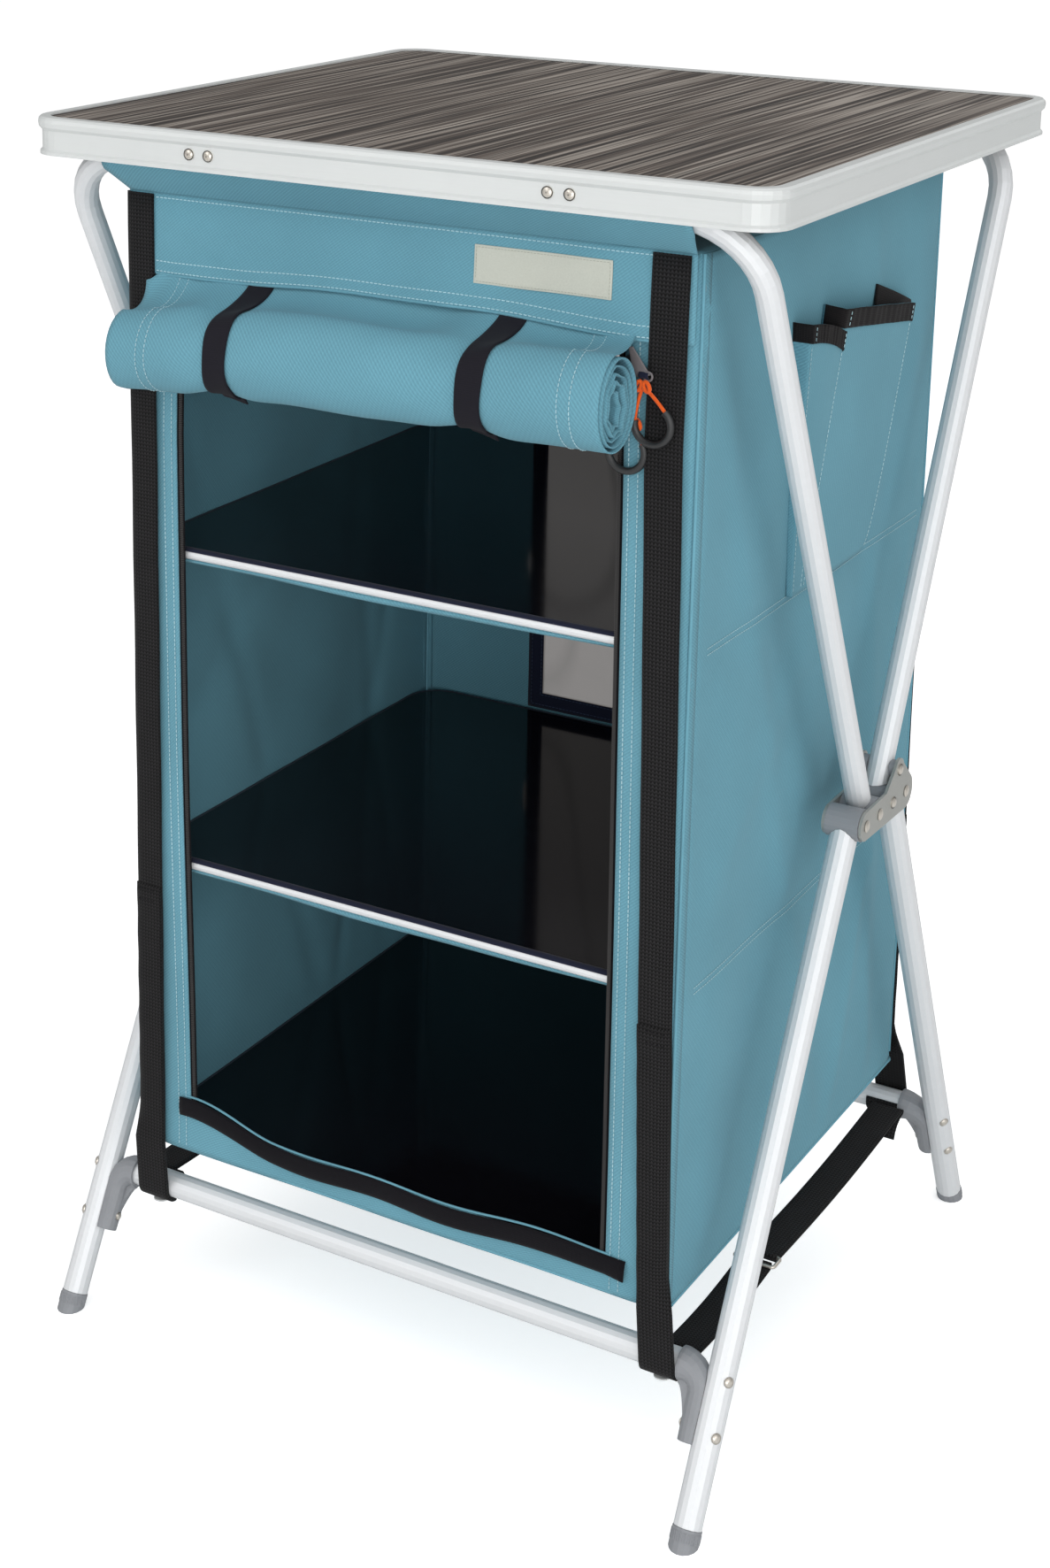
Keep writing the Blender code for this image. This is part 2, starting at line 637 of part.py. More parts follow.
def wrap_from(start, centre, radius, sweep, steps):
    """Line from a point to a circle it touches, then on round the circle by a signed sweep."""
    reach = Vector(start) - Vector(centre)
    bearing = math.degrees(math.atan2(reach.y, reach.x))
    spread = math.degrees(math.acos(radius / reach.length))
    first = bearing + math.copysign(spread, sweep)
    return [tuple(start)] + arc(centre, radius, first, first + sweep, steps)


def sleeve_path(bar, seam_y):
    """Fabric from the box's top seam, round the outer side of a bow's bar and back under it."""
    start = (seam_y, BOX_TOP_Z - 0.001)
    return wrap_from(start, (bar.y, bar.z), UPPER_TUBE_R + GAP + SLEEVE_T / 2, math.copysign(250, seam_y), 14)


def make_cabinet():
    """Sewn cabinet: walls with the door opening and the rear window, and a sleeve on each bow."""
    low = (-BOX_HALF_X, BOX_FRONT_Y, BOX_BOTTOM_Z)
    high = (BOX_HALF_X, BOX_REAR_Y, BOX_TOP_Z)
    obj = box("fabric_cabinet", low, high)
    hollow = box("cabinet_hollow", [v + FABRIC_T for v in low], [v - FABRIC_T for v in high])
    boolean(obj, as_cutter(hollow))
    doorway = box("doorway", (-OPENING_HALF_X, BOX_FRONT_Y - 0.02, OPENING_BOTTOM_Z),
                  (OPENING_HALF_X, BOX_FRONT_Y + 0.02, OPENING_TOP_Z))
    boolean(obj, as_cutter(doorway))
    window = box("window_cut", (-WINDOW_HALF_X, BOX_REAR_Y - 0.02, WINDOW_BOTTOM_Z),
                 (WINDOW_HALF_X, BOX_REAR_Y + 0.02, WINDOW_TOP_Z), WINDOW_CORNER_R, 4, "Y")
    boolean(obj, as_cutter(window))
    for word, bar, seam in (("front", FRONT_BOW_BAR, BOX_FRONT_Y + FABRIC_T / 2),
                            ("rear", REAR_BOW_BAR, BOX_REAR_Y - FABRIC_T / 2)):
        sleeve = sheet(f"sleeve_{word}", sleeve_path(bar, seam), SLEEVE_T, -SLEEVE_HALF_X, SLEEVE_HALF_X)
        boolean(obj, as_cutter(sleeve), "UNION")
    add_part(obj, "teal_fabric")
    net = box("window_mesh", (-WINDOW_HALF_X + GAP, BOX_REAR_Y - 0.0016, WINDOW_BOTTOM_Z + GAP),
              (WINDOW_HALF_X - GAP, BOX_REAR_Y - 0.0004, WINDOW_TOP_Z - GAP), WINDOW_CORNER_R, 4, "Y")
    add_part(net, "window_net")


def make_shelves(pivots):
    """Two shelves on front rails and the board on the cabinet's floor."""
    rear = BOX_REAR_Y - FABRIC_T - SHELF_REAR_GAP
    side = BOX_HALF_X - FABRIC_T - GAP
    front = RAIL_Y + RAIL_R + GAP
    for word, rise in zip(("upper", "lower"), SHELF_RISES):
        top = BOX_BOTTOM_Z + rise
        board = box(f"shelf_board_{word}", (-side, front, top - SHELF_T), (side, rear, top), SHELF_CORNER_R,
                    rear_only=True)
        add_part(board, "shelf_black", pivots[f"{word}_shelf"])
        z = top - SHELF_T / 2
        rail = rod(f"shelf_rail_{word}", (-side, RAIL_Y, z), (side, RAIL_Y, z), RAIL_R, 12)
        add_part(rail, "aluminium_tube", pivots[f"{word}_shelf"])
    floor = BOX_BOTTOM_Z + FABRIC_T + GAP
    base = box("shelf_board_base", (-side, BOX_FRONT_Y + FABRIC_T + GAP, floor),
               (side, BOX_REAR_Y - FABRIC_T - GAP, floor + SHELF_T))
    add_part(base, "shelf_black", pivots["base_board"])


def roll_path():
    """Rolled door: from the band's hem over the top of the roll and wound inwards."""
    steps = int(ROLL_TURNS * ROLL_STEPS)
    start = 62.0
    points = [(BOX_FRONT_Y - 0.0018, OPENING_TOP_Z - 0.0020),
              (BOX_FRONT_Y - 0.0055, OPENING_TOP_Z - 0.0062)]
    for i in range(steps + 1):
        turn = math.radians(start + 360.0 * i / ROLL_STEPS)
        shrink = ROLL_PITCH * i / ROLL_STEPS
        points.append((ROLL_Y + (ROLL_HALF_Y - shrink) * math.cos(turn),
                       ROLL_Z + (ROLL_HALF_Z - shrink) * math.sin(turn)))
    return points


def least_gap(points, skip, thickness):
    """Smallest clear distance between layers of a wound sheet."""
    best = 1.0
    for i, a in enumerate(points):
        for j in range(i + skip, len(points) - 1):
            b, c = Vector(points[j]), Vector(points[j + 1])
            run = c - b
            share = max(0.0, min(1.0, (Vector(a) - b).dot(run) / run.length_squared))
            best = min(best, (Vector(a) - b - run * share).length - thickness)
    return best


def make_door():
    """Rolled door and the two ties that hold it up."""
    path = roll_path()
    print("least gap between the door's layers, mm:", round(least_gap(path, 9, ROLL_SHEET_T) * 1000, 2))
    door = sheet("door_roll", path, ROLL_SHEET_T, ROLL_LEFT_X, ROLL_RIGHT_X)
    behind = ROLL_Y + ROLL_HALF_Y + ROLL_SHEET_T / 2 + GAP
    for word, side in (("left", -1), ("right", 1)):
        ends = sorted((side * DOOR_HALF_X, side * (DOOR_HALF_X + 0.1)))
        trim = box(f"door_trim_{word}", (ends[0], behind, ROLL_Z), (ends[1], 0.0, OPENING_TOP_Z + 0.02))
        boolean(door, as_cutter(trim))
    add_part(door, "teal_fabric")
    grow = ROLL_SHEET_T / 2 + WEB_GAP + TIE_T / 2
    wrap = arc((ROLL_Y, ROLL_Z), (ROLL_HALF_Y + grow, ROLL_HALF_Z + grow), 66, 292, 20)
    head = [(BOX_FRONT_Y - 0.0010, OPENING_TOP_Z + 0.008), (BOX_FRONT_Y - 0.0016, OPENING_TOP_Z + 0.0015)]
    tail = [(wrap[-1][0] + 0.004, wrap[-1][1] - 0.004), (wrap[-1][0] + 0.006, wrap[-1][1] - 0.011)]
    for word, x in zip(("left", "right"), TIE_X):
        tie = sheet(f"roll_tie_{word}", head + wrap + tail, TIE_T, x - TIE_WIDTH / 2, x + TIE_WIDTH / 2)
        add_part(tie, "strap_navy")


def lean(obj, z_low, z_high, shift_low, shift_high):
    """Slide a piece's points across X in proportion to their height."""
    place = obj.matrix_world.copy()
    back = place.inverted()
    for vert in obj.data.vertices:
        at = place @ vert.co
        share = (at.z - z_low) / (z_high - z_low)
        at.x += shift_low + (shift_high - shift_low) * share
        vert.co = back @ at
    return obj


def make_webbing(name, side, face_y, outward, bar):
    """Webbing that hangs from the top seam and loops under a crossbar."""
    radius = CROSSBAR_R + WEB_GAP + WEB_T / 2
    y = face_y + outward * (WEB_GAP + WEB_T / 2)
    path = [(y, BOX_TOP_Z - 0.002)] + wrap_from((y, bar.z + 0.045), (bar.y, bar.z), radius, -outward * 225, 14)
    obj = sheet(name, path, WEB_T, side * WEB_TOP_X - WEB_WIDTH / 2, side * WEB_TOP_X + WEB_WIDTH / 2)
    lean(obj, bar.z, BOX_TOP_Z, side * (WEB_BOTTOM_X - WEB_TOP_X), 0.0)
    return add_part(obj, "black_webbing")


def make_base_straps(word, side):
    """Strap under the cabinet in two lengths, each folded round one bar of a wire buckle."""
    wrap_r = BUCKLE_WIRE_R + WEB_GAP + WEB_T / 2
    z = CROSSBAR_HEIGHT
    clear = ELBOW_SLEEVE_R + GAP
    front_bar, rear_bar = BUCKLE_Y - BUCKLE_BAR_GAP / 2, BUCKLE_Y + BUCKLE_BAR_GAP / 2
    front = [(FRONT_BAR.y + clear, z)] + arc((front_bar, z + wrap_r), wrap_r, 270, 440, 8)
    fold_y = REAR_BAR.y - clear - WEB_T / 2 - STRAP_FOLD_R
    tail = [(fold_y - STRAP_TAIL * 0.5, z - STRAP_TAIL), (fold_y - STRAP_TAIL * 0.4, z - STRAP_TAIL * 0.375),
            (fold_y - STRAP_TAIL * 0.19, z - STRAP_FOLD_R - 0.001)]
    fold = arc((fold_y, z), STRAP_FOLD_R, 270, 450, 6)
    rear = tail + fold + arc((rear_bar, z + wrap_r), wrap_r, 270, 100, 8)
    x = side * BASE_STRAP_X
    half = WEB_WIDTH / 2
    add_part(sheet(f"base_strap_front_{word}", front, WEB_T, x - half, x + half), "black_webbing")
    add_part(sheet(f"base_strap_rear_{word}", rear, WEB_T, x - half, x + half), "black_webbing")
    make_buckle(f"strap_buckle_{word}", (x, BUCKLE_Y, z + wrap_r), half)


def make_buckle(name, centre, half):
    """Rectangular ring of wire with a strap round each long bar."""
    reach = half + GAP + BUCKLE_WIRE_R + BUCKLE_CORNER_R * 0.3
    corner = BUCKLE_CORNER_R
    points = []
    for sx, sy, start in ((1, 1, 0), (-1, 1, 90), (-1, -1, 180), (1, -1, 270)):
        middle = (sx * (reach - corner), sy * (BUCKLE_BAR_GAP / 2 - corner))
        points += arc(middle, corner, start, start + 90, 3)
    place = Vector(centre)
    ring = tube_mesh(name, [place + Vector((a, b, 0)) for a, b in points], BUCKLE_WIRE_R, resolution=2, closed=True)
    return add_part(ring, "rivet_steel")


def make_pocket(name, mouth, foot):
    """Side pocket: a gusset that stands out at its mouth and tapers to its foot."""
    x = BOX_HALF_X + GAP
    high, low = BOX_TOP_Z - POCKET_DROP, BOX_TOP_Z - POCKET_DROP - POCKET_DEPTH
    bm = bmesh.new()
    bmesh.ops.create_cube(bm, size=1.0)
    for vert in bm.verts:
        upper, outer, rear = (value > 0 for value in (vert.co.z, vert.co.x, vert.co.y))
        ends = mouth if upper else foot
        out = (POCKET_BULGE if upper else POCKET_FOOT_BULGE) if outer else 0.0
        narrow = POCKET_CORNER if upper and outer else 0.0
        y = BOX_FRONT_Y + (ends[1] - narrow if rear else ends[0] + narrow)
        vert.co = (x + out, y, high if upper else low)
    return add_part(mesh_object(name, bm, smooth=False), "teal_fabric")


def make_slider(name, side, empty):
    """Zip slider parked at the top of its zip."""
    width, depth, height = SLIDER_SIZE
    low = BOX_FRONT_Y - GAP - depth
    obj = box(name, (side * ZIP_X - width / 2, low, SLIDER_Z - height / 2),
              (side * ZIP_X + width / 2, low + depth, SLIDER_Z + height / 2), 0.0022, 3, "Y")
    return add_part(obj, "zip_metal", empty)


def centre_over_origin():
    """Shift everything along Y so that the origin lies under the middle of the object."""
    bpy.context.view_layer.update()
    graph = bpy.context.evaluated_depsgraph_get()
    depths = []
    for obj in PARTS.objects:
        if obj.type == "MESH":
            whole = obj.evaluated_get(graph)
            depths += [(whole.matrix_world @ v.co).y for v in whole.data.vertices]
    shift = -(min(depths) + max(depths)) / 2
    for obj in list(PARTS.objects) + list(CUTTERS.objects):
        if obj.parent is None:
            obj.location.y += shift
    print("tabletop's middle behind the origin, mm:", round(shift * 1000, 3))


def main():
    """Build every piece."""
    pivots = {
        "front_leg": pivot_at("front_leg_pivot", FRONT_LEG_PIVOT),
        "front_bow": pivot_at("front_bow_pivot", FRONT_BOW_PIVOT),
        "rear_leg": pivot_at("rear_leg_pivot", REAR_LEG_PIVOT),
        "tabletop": pivot_at("tabletop_lift", Vector((0, 0, TOP_HEIGHT))),
        "upper_shelf": pivot_at("upper_shelf_rise", Vector((0, 0, BOX_BOTTOM_Z + SHELF_RISES[0]))),
        "lower_shelf": pivot_at("lower_shelf_rise", Vector((0, 0, BOX_BOTTOM_Z + SHELF_RISES[1]))),
        "base_board": pivot_at("base_board_rise", Vector((0, 0, BOX_BOTTOM_Z))),
    }
    make_frame(pivots)
    make_hinges(pivots)
    make_tabletop(pivots["tabletop"])
    make_cabinet()
    make_shelves(pivots)
    make_door()
    for word, side in (("left", -1), ("right", 1)):
        make_webbing(f"webbing_front_{word}", side, BOX_FRONT_Y, -1, FRONT_BAR)
        make_webbing(f"webbing_rear_{word}", side, BOX_REAR_Y, 1, REAR_BAR)
        make_base_straps(word, side)
        make_slider(f"zip_slider_{word}", side, pivot_at(f"zip_{word}_start",
                                                        Vector((side * ZIP_X, BOX_FRONT_Y, SLIDER_Z))))
    make_pocket("side_pocket_front", FRONT_POCKET_MOUTH, FRONT_POCKET_FOOT)
    make_pocket("side_pocket_rear", REAR_POCKET_MOUTH, REAR_POCKET_FOOT)
    centre_over_origin()


main()
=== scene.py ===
"""Studio scene of a folding camping cupboard: the tube frame is dressed, and the cloth is made here."""

import json
import logging
from dataclasses import dataclass
from enum import Enum
from math import acos, atan2, copysign, cos, dist, exp, pi, radians, sin, sqrt, tau
from typing import Callable, Iterable, Sequence

import bmesh
import bpy
from mathutils import Matrix, Vector

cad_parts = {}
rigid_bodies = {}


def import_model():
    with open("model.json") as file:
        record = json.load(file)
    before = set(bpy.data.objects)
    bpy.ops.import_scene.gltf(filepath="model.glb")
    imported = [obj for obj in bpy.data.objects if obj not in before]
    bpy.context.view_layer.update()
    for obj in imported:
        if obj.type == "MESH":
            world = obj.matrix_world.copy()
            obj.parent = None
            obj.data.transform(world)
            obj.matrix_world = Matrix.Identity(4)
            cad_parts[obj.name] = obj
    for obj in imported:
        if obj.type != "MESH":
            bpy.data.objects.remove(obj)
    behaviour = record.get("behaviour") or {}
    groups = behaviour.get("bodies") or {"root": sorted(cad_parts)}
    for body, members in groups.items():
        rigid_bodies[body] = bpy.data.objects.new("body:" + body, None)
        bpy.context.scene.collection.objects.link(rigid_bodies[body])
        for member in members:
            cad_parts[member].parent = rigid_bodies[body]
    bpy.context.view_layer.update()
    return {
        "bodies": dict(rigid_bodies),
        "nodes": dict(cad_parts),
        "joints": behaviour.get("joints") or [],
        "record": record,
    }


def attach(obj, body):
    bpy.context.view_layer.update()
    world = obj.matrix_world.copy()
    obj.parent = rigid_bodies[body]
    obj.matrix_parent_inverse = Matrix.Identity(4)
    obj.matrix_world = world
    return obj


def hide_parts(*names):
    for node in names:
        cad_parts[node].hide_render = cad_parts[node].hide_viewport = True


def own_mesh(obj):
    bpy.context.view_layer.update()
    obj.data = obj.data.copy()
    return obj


LOG = logging.getLogger("camping_cupboard")
Point = tuple[float, float, float]
Point2 = tuple[float, float]
Colour = tuple[float, float, float]
# Where a sheet lies: from the shares across and up it to the place of that point.
Rule = Callable[[float, float], Point]
BMesh = bmesh.types.BMesh
Object = bpy.types.Object
Material = bpy.types.Material

# Added to the solved places along Y, to bring them into the part's frame.
MIDDLE = 0.010051


class Slot(Enum):
    """Material slots of the record, named next to the pieces made here; no piece is given one."""

    RIM = "anodised_rim"
    PLASTIC = "grey_plastic"
    RIVET = "rivet_steel"
    SHELF = "black_board"
    CLOTH = "teal_fabric"
    WINDOW = "window_film"
    WEBBING = "black_webbing"
    TIE = "dark_tie"
    ZIP = "zip_metal"


class Side(Enum):
    """The two sides of the cupboard, seen from the front."""

    LEFT = -1
    RIGHT = 1

    @property
    def word(self) -> str:
        """Name used in node names."""
        return self.name.lower()


class End(Enum):
    """The front and the rear of the cupboard; the value is the way outward along Y."""

    FRONT = -1
    REAR = 1

    @property
    def word(self) -> str:
        """Name used in node names."""
        return self.name.lower()


def clamp(value: float) -> float:
    """Value kept between 0 and 1."""
    return min(1.0, max(0.0, value))


def swell(value: float, centre: float, width: float) -> float:
    """Smooth bump of height one round a centre."""
    return exp(-(((value - centre) / width) ** 2))


def spread(start: float, length: float, steps: int) -> list[float]:
    """Numbers evenly spaced over a length, both ends included."""
    return [start + i * length / steps for i in range(steps + 1)]


def arc(centre: Point2, radii: Point2, start: float, stop: float, steps: int) -> list[Point2]:
    """Points on an ellipse in Y-Z.

    Args:
        centre: its middle.
        radii: its half sizes.
        start: first angle in degrees, from +Y towards +Z.
        stop: last angle.
        steps: number of spans.

    Returns:
        The points, as (y, z).
    """
    turns = [radians(start + (stop - start) * i / steps) for i in range(steps + 1)]
    return [(centre[0] + radii[0] * cos(t), centre[1] + radii[1] * sin(t)) for t in turns]


def aimed(place: Sequence[float], run: Sequence[float], axis: str = "Z") -> Matrix:
    """Transform of a shape that stands at a place with its Z axis, or another, along a run."""
    return Matrix.Translation(place) @ Vector(run).to_track_quat(axis, "Y").to_matrix().to_4x4()


@dataclass(frozen=True)
class Layout:
    """Places that several sub-assemblies share, in metres."""

    half_x: float = 0.235
    front_y: float = -0.2355 + MIDDLE
    rear_y: float = 0.2155 + MIDDLE
    floor_z: float = 0.148
    seam_z: float = 0.925
    hem_z: float = 0.8645
    door_x: float = 0.182
    door_z: float = 0.19
    cloth: float = 0.0016
    corner: float = 0.01
    corner_tuck: float = 0.0004
    folded_share: float = 0.216
    hinge_z: float = 0.466
    bar_z: float = 0.105
    front_bar_y: float = -0.22521 + MIDDLE
    rear_bar_y: float = 0.22033 + MIDDLE

    @property
    def width(self) -> float:
        """Width of the cabinet."""
        return 2 * self.half_x

    @property
    def depth(self) -> float:
        """Depth of the cabinet."""
        return self.rear_y - self.front_y

    @property
    def height(self) -> float:
        """Height of the cabinet, from its floor to its top seam."""
        return self.seam_z - self.floor_z

    def bar(self, end: End) -> Point2:
        """Middle of a crossbar near the floor, as (y, z)."""
        return (self.front_bar_y if end is End.FRONT else self.rear_bar_y), self.bar_z

    def door_edge(self, side: Side, z: float) -> float:
        """Doorway's soft edge: it leans in on the right and bows out on the left.

        Args:
            side: which edge.
            z: a height.

        Returns:
            Its distance from the middle at that height.
        """
        share = clamp((z - self.door_z) / (self.hem_z - self.door_z))
        if side is Side.RIGHT:
            return 0.1855 - 0.0068 * share**1.3
        drop = clamp((share - 0.82) / 0.12)
        return 0.185 + 0.007 * sin(min(1.0, share / 0.78) * pi / 2) - 0.002 * drop

    def rounded(self, along: float, front: bool) -> Point2:
        """Round the cabinet's upright corners.

        Args:
            along: distance past the start of the corner, on the front or the side.
            front: whether the point is on the front or rear wall.

        Returns:
            Its distance out along X from where the corner starts, and its distance back from the wall.
        """
        turn = along / self.corner * pi / 4
        turn = turn if front else pi / 2 - turn
        return self.corner * sin(turn), self.corner * (1 - cos(turn))

    def wrapped(self, out: float) -> Point2:
        """Lead a point of the front or rear wall round the corner.

        Args:
            out: its distance from the middle on the flat wall.

        Returns:
            Its distance from the middle along X, and its distance back from the wall.
        """
        start = self.half_x - self.corner
        if out <= start:
            return out, 0.0
        turned, back = self.rounded(out - start, True)
        return start + turned - self.corner_tuck, back


PLAN = Layout()


class Value:
    """A shader socket that can be written in sums."""

    def __init__(self, graph: "Graph", socket: bpy.types.NodeSocket) -> None:
        """Keep the socket and the graph that it belongs to."""
        self.graph = graph
        self.socket = socket

    def _maths(self, operation: str, first: object, second: object) -> "Value":
        """One Math node on two values."""
        return self.graph.node("ShaderNodeMath", {"operation": operation}, {0: first, 1: second})

    def __add__(self, other: object) -> "Value":
        """Sum."""
        return self._maths("ADD", self, other)

    __radd__ = __add__

    def __mul__(self, other: object) -> "Value":
        """Product."""
        return self._maths("MULTIPLY", self, other)

    __rmul__ = __mul__

    def ribs(self, pitch: float, shift: "Value | None" = None) -> "Value":
        """Even ribs along a coordinate in metres.

        Args:
            pitch: distance from one rib to the next.
            shift: how far they are shifted, in radians, if they are.

        Returns:
            Their height, from -1 to 1.
        """
        turned = self * (tau / pitch)
        return self._maths("SINE", turned if shift is None else turned + shift, 0.0)


class Graph:
    """Node tree of one material, built by short calls."""

    def __init__(self, name: str) -> None:
        """Start a material with one Principled shader.

        Args:
            name: the material's name.
        """
        self.material = bpy.data.materials.new(name)
        self.material.use_nodes = True
        self.nodes = self.material.node_tree.nodes
        self.links = self.material.node_tree.links
        self.shader = self.nodes["Principled BSDF"]

    def node(self, kind: str, settings: dict, sockets: dict, output: int | str = 0) -> Value:
        """Add any node.

        Args:
            kind: the node's type name.
            settings: attributes that are set first; "stops" sets a ramp's stops.
            sockets: numbers, colours or Values for its inputs.
            output: which output to return.

        Returns:
            The chosen output as a Value.
        """
        made = self.nodes.new(kind)
        for key, value in settings.items():
            if key == "stops":
                self._set_stops(made.color_ramp, value)
            else:
                setattr(made, key, value)
        for key, value in sockets.items():
            self.plug(made.inputs[key], value)
        return Value(self, made.outputs[output])

    @staticmethod
    def _set_stops(ramp: bpy.types.ColorRamp, stops: Sequence[tuple[float, Colour]]) -> None:
        """Give a ramp its stops.

        Args:
            ramp: a new ramp.
            stops: positions and colours, in order.
        """
        while len(ramp.elements) < len(stops):
            ramp.elements.new(0.5)
        for element, (position, colour) in zip(ramp.elements, stops):
            element.position = position
            element.color = (*colour, 1.0)

    def plug(self, socket: bpy.types.NodeSocket, value: object) -> None:
        """Link or set one input.

        Args:
            socket: the input.
            value: a Value, a number, a vector or a colour.
        """
        if isinstance(value, Value):
            self.links.new(value.socket, socket)
        elif isinstance(value, tuple) and len(value) == 3 and socket.type == "RGBA":
            socket.default_value = (*value, 1.0)
        else:
            socket.default_value = value

    def set(self, **inputs: object) -> None:
        """Set the shader's inputs by name, with underscores for spaces."""
        for key, value in inputs.items():
            self.plug(self.shader.inputs[key.replace("_", " ")], value)

    def place(self, uv: bool = False, scale: Point = (1, 1, 1), turn: float = 0.0) -> Value:
        """Coordinates on the piece, scaled and turned.

        Args:
            uv: read the UV map, which is in metres, in place of Object coordinates.
            scale: scale along each axis.
            turn: turn about Z, in degrees.

        Returns:
            The mapped vector.
        """
        source = self.node("ShaderNodeTexCoord", {}, {}, "UV" if uv else "Object")
        turned = self.node("ShaderNodeMapping", {}, {"Vector": source, "Rotation": (0, 0, radians(turn))})
        return self.node("ShaderNodeMapping", {}, {"Vector": turned, "Scale": scale})

    def noise(self, vector: Value, scale: float, detail: float = 2.0) -> Value:
        """Noise from 0 to 1."""
        return self.node("ShaderNodeTexNoise", {}, {"Vector": vector, "Scale": scale, "Detail": detail})

    def drawn_out(self, scale: Point, detail: float) -> Value:
        """Noise from 0 to 1 that is drawn out by its own scale along each axis."""
        return self.noise(self.place(scale=scale), 1.0, detail)

    def split(self, vector: Value, axis: int) -> Value:
        """One component of a vector."""
        return self.node("ShaderNodeSeparateXYZ", {}, {"Vector": vector}, axis)

    def mix(self, factor: object, first: object, second: object) -> Value:
        """Blend of two colours."""
        return self.node("ShaderNodeMix", {"data_type": "RGBA"}, {0: factor, 6: first, 7: second}, 2)

    def ramp(self, factor: Value, *stops: tuple[float, Colour]) -> Value:
        """Colour that follows a factor through stops."""
        return self.node("ShaderNodeValToRGB", {"stops": stops}, {0: factor})

    def tint(self, factor: Value, colour: Colour, low: float, high: float) -> None:
        """Let the base colour run between two shades of one colour."""
        self.set(Base_Color=self.mix(factor, shade(colour, low), shade(colour, high)))

    def bump(self, height: Value, strength: float, distance: float) -> None:
        """Relief from a height in metres."""
        made = self.node("ShaderNodeBump", {}, {"Height": height, "Strength": strength, "Distance": distance})
        self.set(Normal=made)


def shade(colour: Colour, factor: float) -> Colour:
    """Colour made lighter or darker."""
    return tuple(min(1.0, c * factor) for c in colour)


@dataclass(frozen=True)
class Finish:
    """One material; each kind of finish paints its own."""

    name: str

    def build(self) -> Material:
        """Make the material."""
        graph = Graph(self.name)
        self.paint(graph)
        return graph.material

    def paint(self, graph: Graph) -> None:
        """Set the shader's inputs."""
        raise NotImplementedError


@dataclass(frozen=True)
class Cloth(Finish):
    """Twill or plain cloth with a fine slanting rib and soft cloudy shade."""

    colour: Colour
    rib: float = 0.0019
    slant: float = 52.0
    depth: float = 0.00016
    contrast: float = 0.27
    roughness: float = 0.9
    sheen: float = 0.06
    thread_ratio: float = 1.6

    def paint(self, graph: Graph) -> None:
        """Weave, cloudy shade and specks.

        Args:
            graph: the material's nodes.
        """
        across, along = (graph.split(graph.place(uv=True, turn=self.slant), axis) for axis in (0, 1))
        rib = across.ribs(self.rib)
        thread = along.ribs(self.rib * self.thread_ratio, rib * 0.6)
        weave = rib * 0.75 + thread * 0.25
        cloud = graph.noise(graph.place(), 9.0, 3.0)
        speck = graph.noise(graph.place(), 900.0, 1.0)
        graph.tint(cloud * 0.55 + speck * 0.3 + weave * self.contrast + 0.075, self.colour, 0.74, 1.24)
        graph.set(Roughness=self.roughness, Sheen_Weight=self.sheen, Sheen_Roughness=0.5, Specular_IOR_Level=0.12)
        graph.bump(weave * 0.5 + cloud * 0.4, 0.6, self.depth)


@dataclass(frozen=True)
class Webbing(Finish):
    """Heavy woven tape with staggered ribs across it."""

    colour: Colour
    pitch: float = 0.0028
    roughness: float = 0.85

    def paint(self, graph: Graph) -> None:
        """Ribs and worn patches.

        Args:
            graph: the material's nodes.
        """
        place = graph.place(uv=True)
        columns = graph.split(place, 0).ribs(self.pitch)
        rows = graph.split(place, 1).ribs(self.pitch, columns * 1.4)
        height = rows * 0.6 + columns * 0.4
        worn = graph.noise(graph.place(), 60.0, 3.0)
        graph.tint(height * 0.62 + worn * 0.25 + 0.22, self.colour, 0.1, 2.4)
        graph.set(Roughness=self.roughness, Sheen_Weight=0.04, Specular_IOR_Level=0.2)
        graph.bump(height, 0.7, 0.00018)


@dataclass(frozen=True)
class Anodised(Finish):
    """Matt anodised aluminium with a faint drawn grain."""

    colour: Colour
    grain: Point
    roughness: float
    metallic: float

    def paint(self, graph: Graph) -> None:
        """Grain and a faint cloud.

        Args:
            graph: the material's nodes.
        """
        grain = graph.drawn_out(self.grain, 2.0)
        cloud = graph.noise(graph.place(), 14.0, 3.0)
        graph.tint(grain * 0.5 + cloud * 0.5, self.colour, 0.95, 1.05)
        graph.set(Roughness=cloud * 0.1 + grain * 0.06 + (self.roughness - 0.08), Metallic=self.metallic)
        graph.bump(grain, 0.15, 0.00004)


@dataclass(frozen=True)
class Moulded(Finish):
    """Moulded plastic, rubber or coated metal with a fine pitted skin."""

    colour: Colour
    roughness: float = 0.5
    metallic: float = 0.0
    pits: float = 700.0
    relief: float = 0.00006

    def paint(self, graph: Graph) -> None:
        """Pits and a faint cloud.

        Args:
            graph: the material's nodes.
        """
        pits = graph.noise(graph.place(), self.pits, 2.0)
        cloud = graph.noise(graph.place(), 30.0, 3.0)
        graph.tint(cloud, self.colour, 0.88, 1.12)
        graph.set(Roughness=pits * 0.12 + cloud * 0.1 + (self.roughness - 0.11), Metallic=self.metallic)
        graph.bump(pits, 0.4, self.relief)


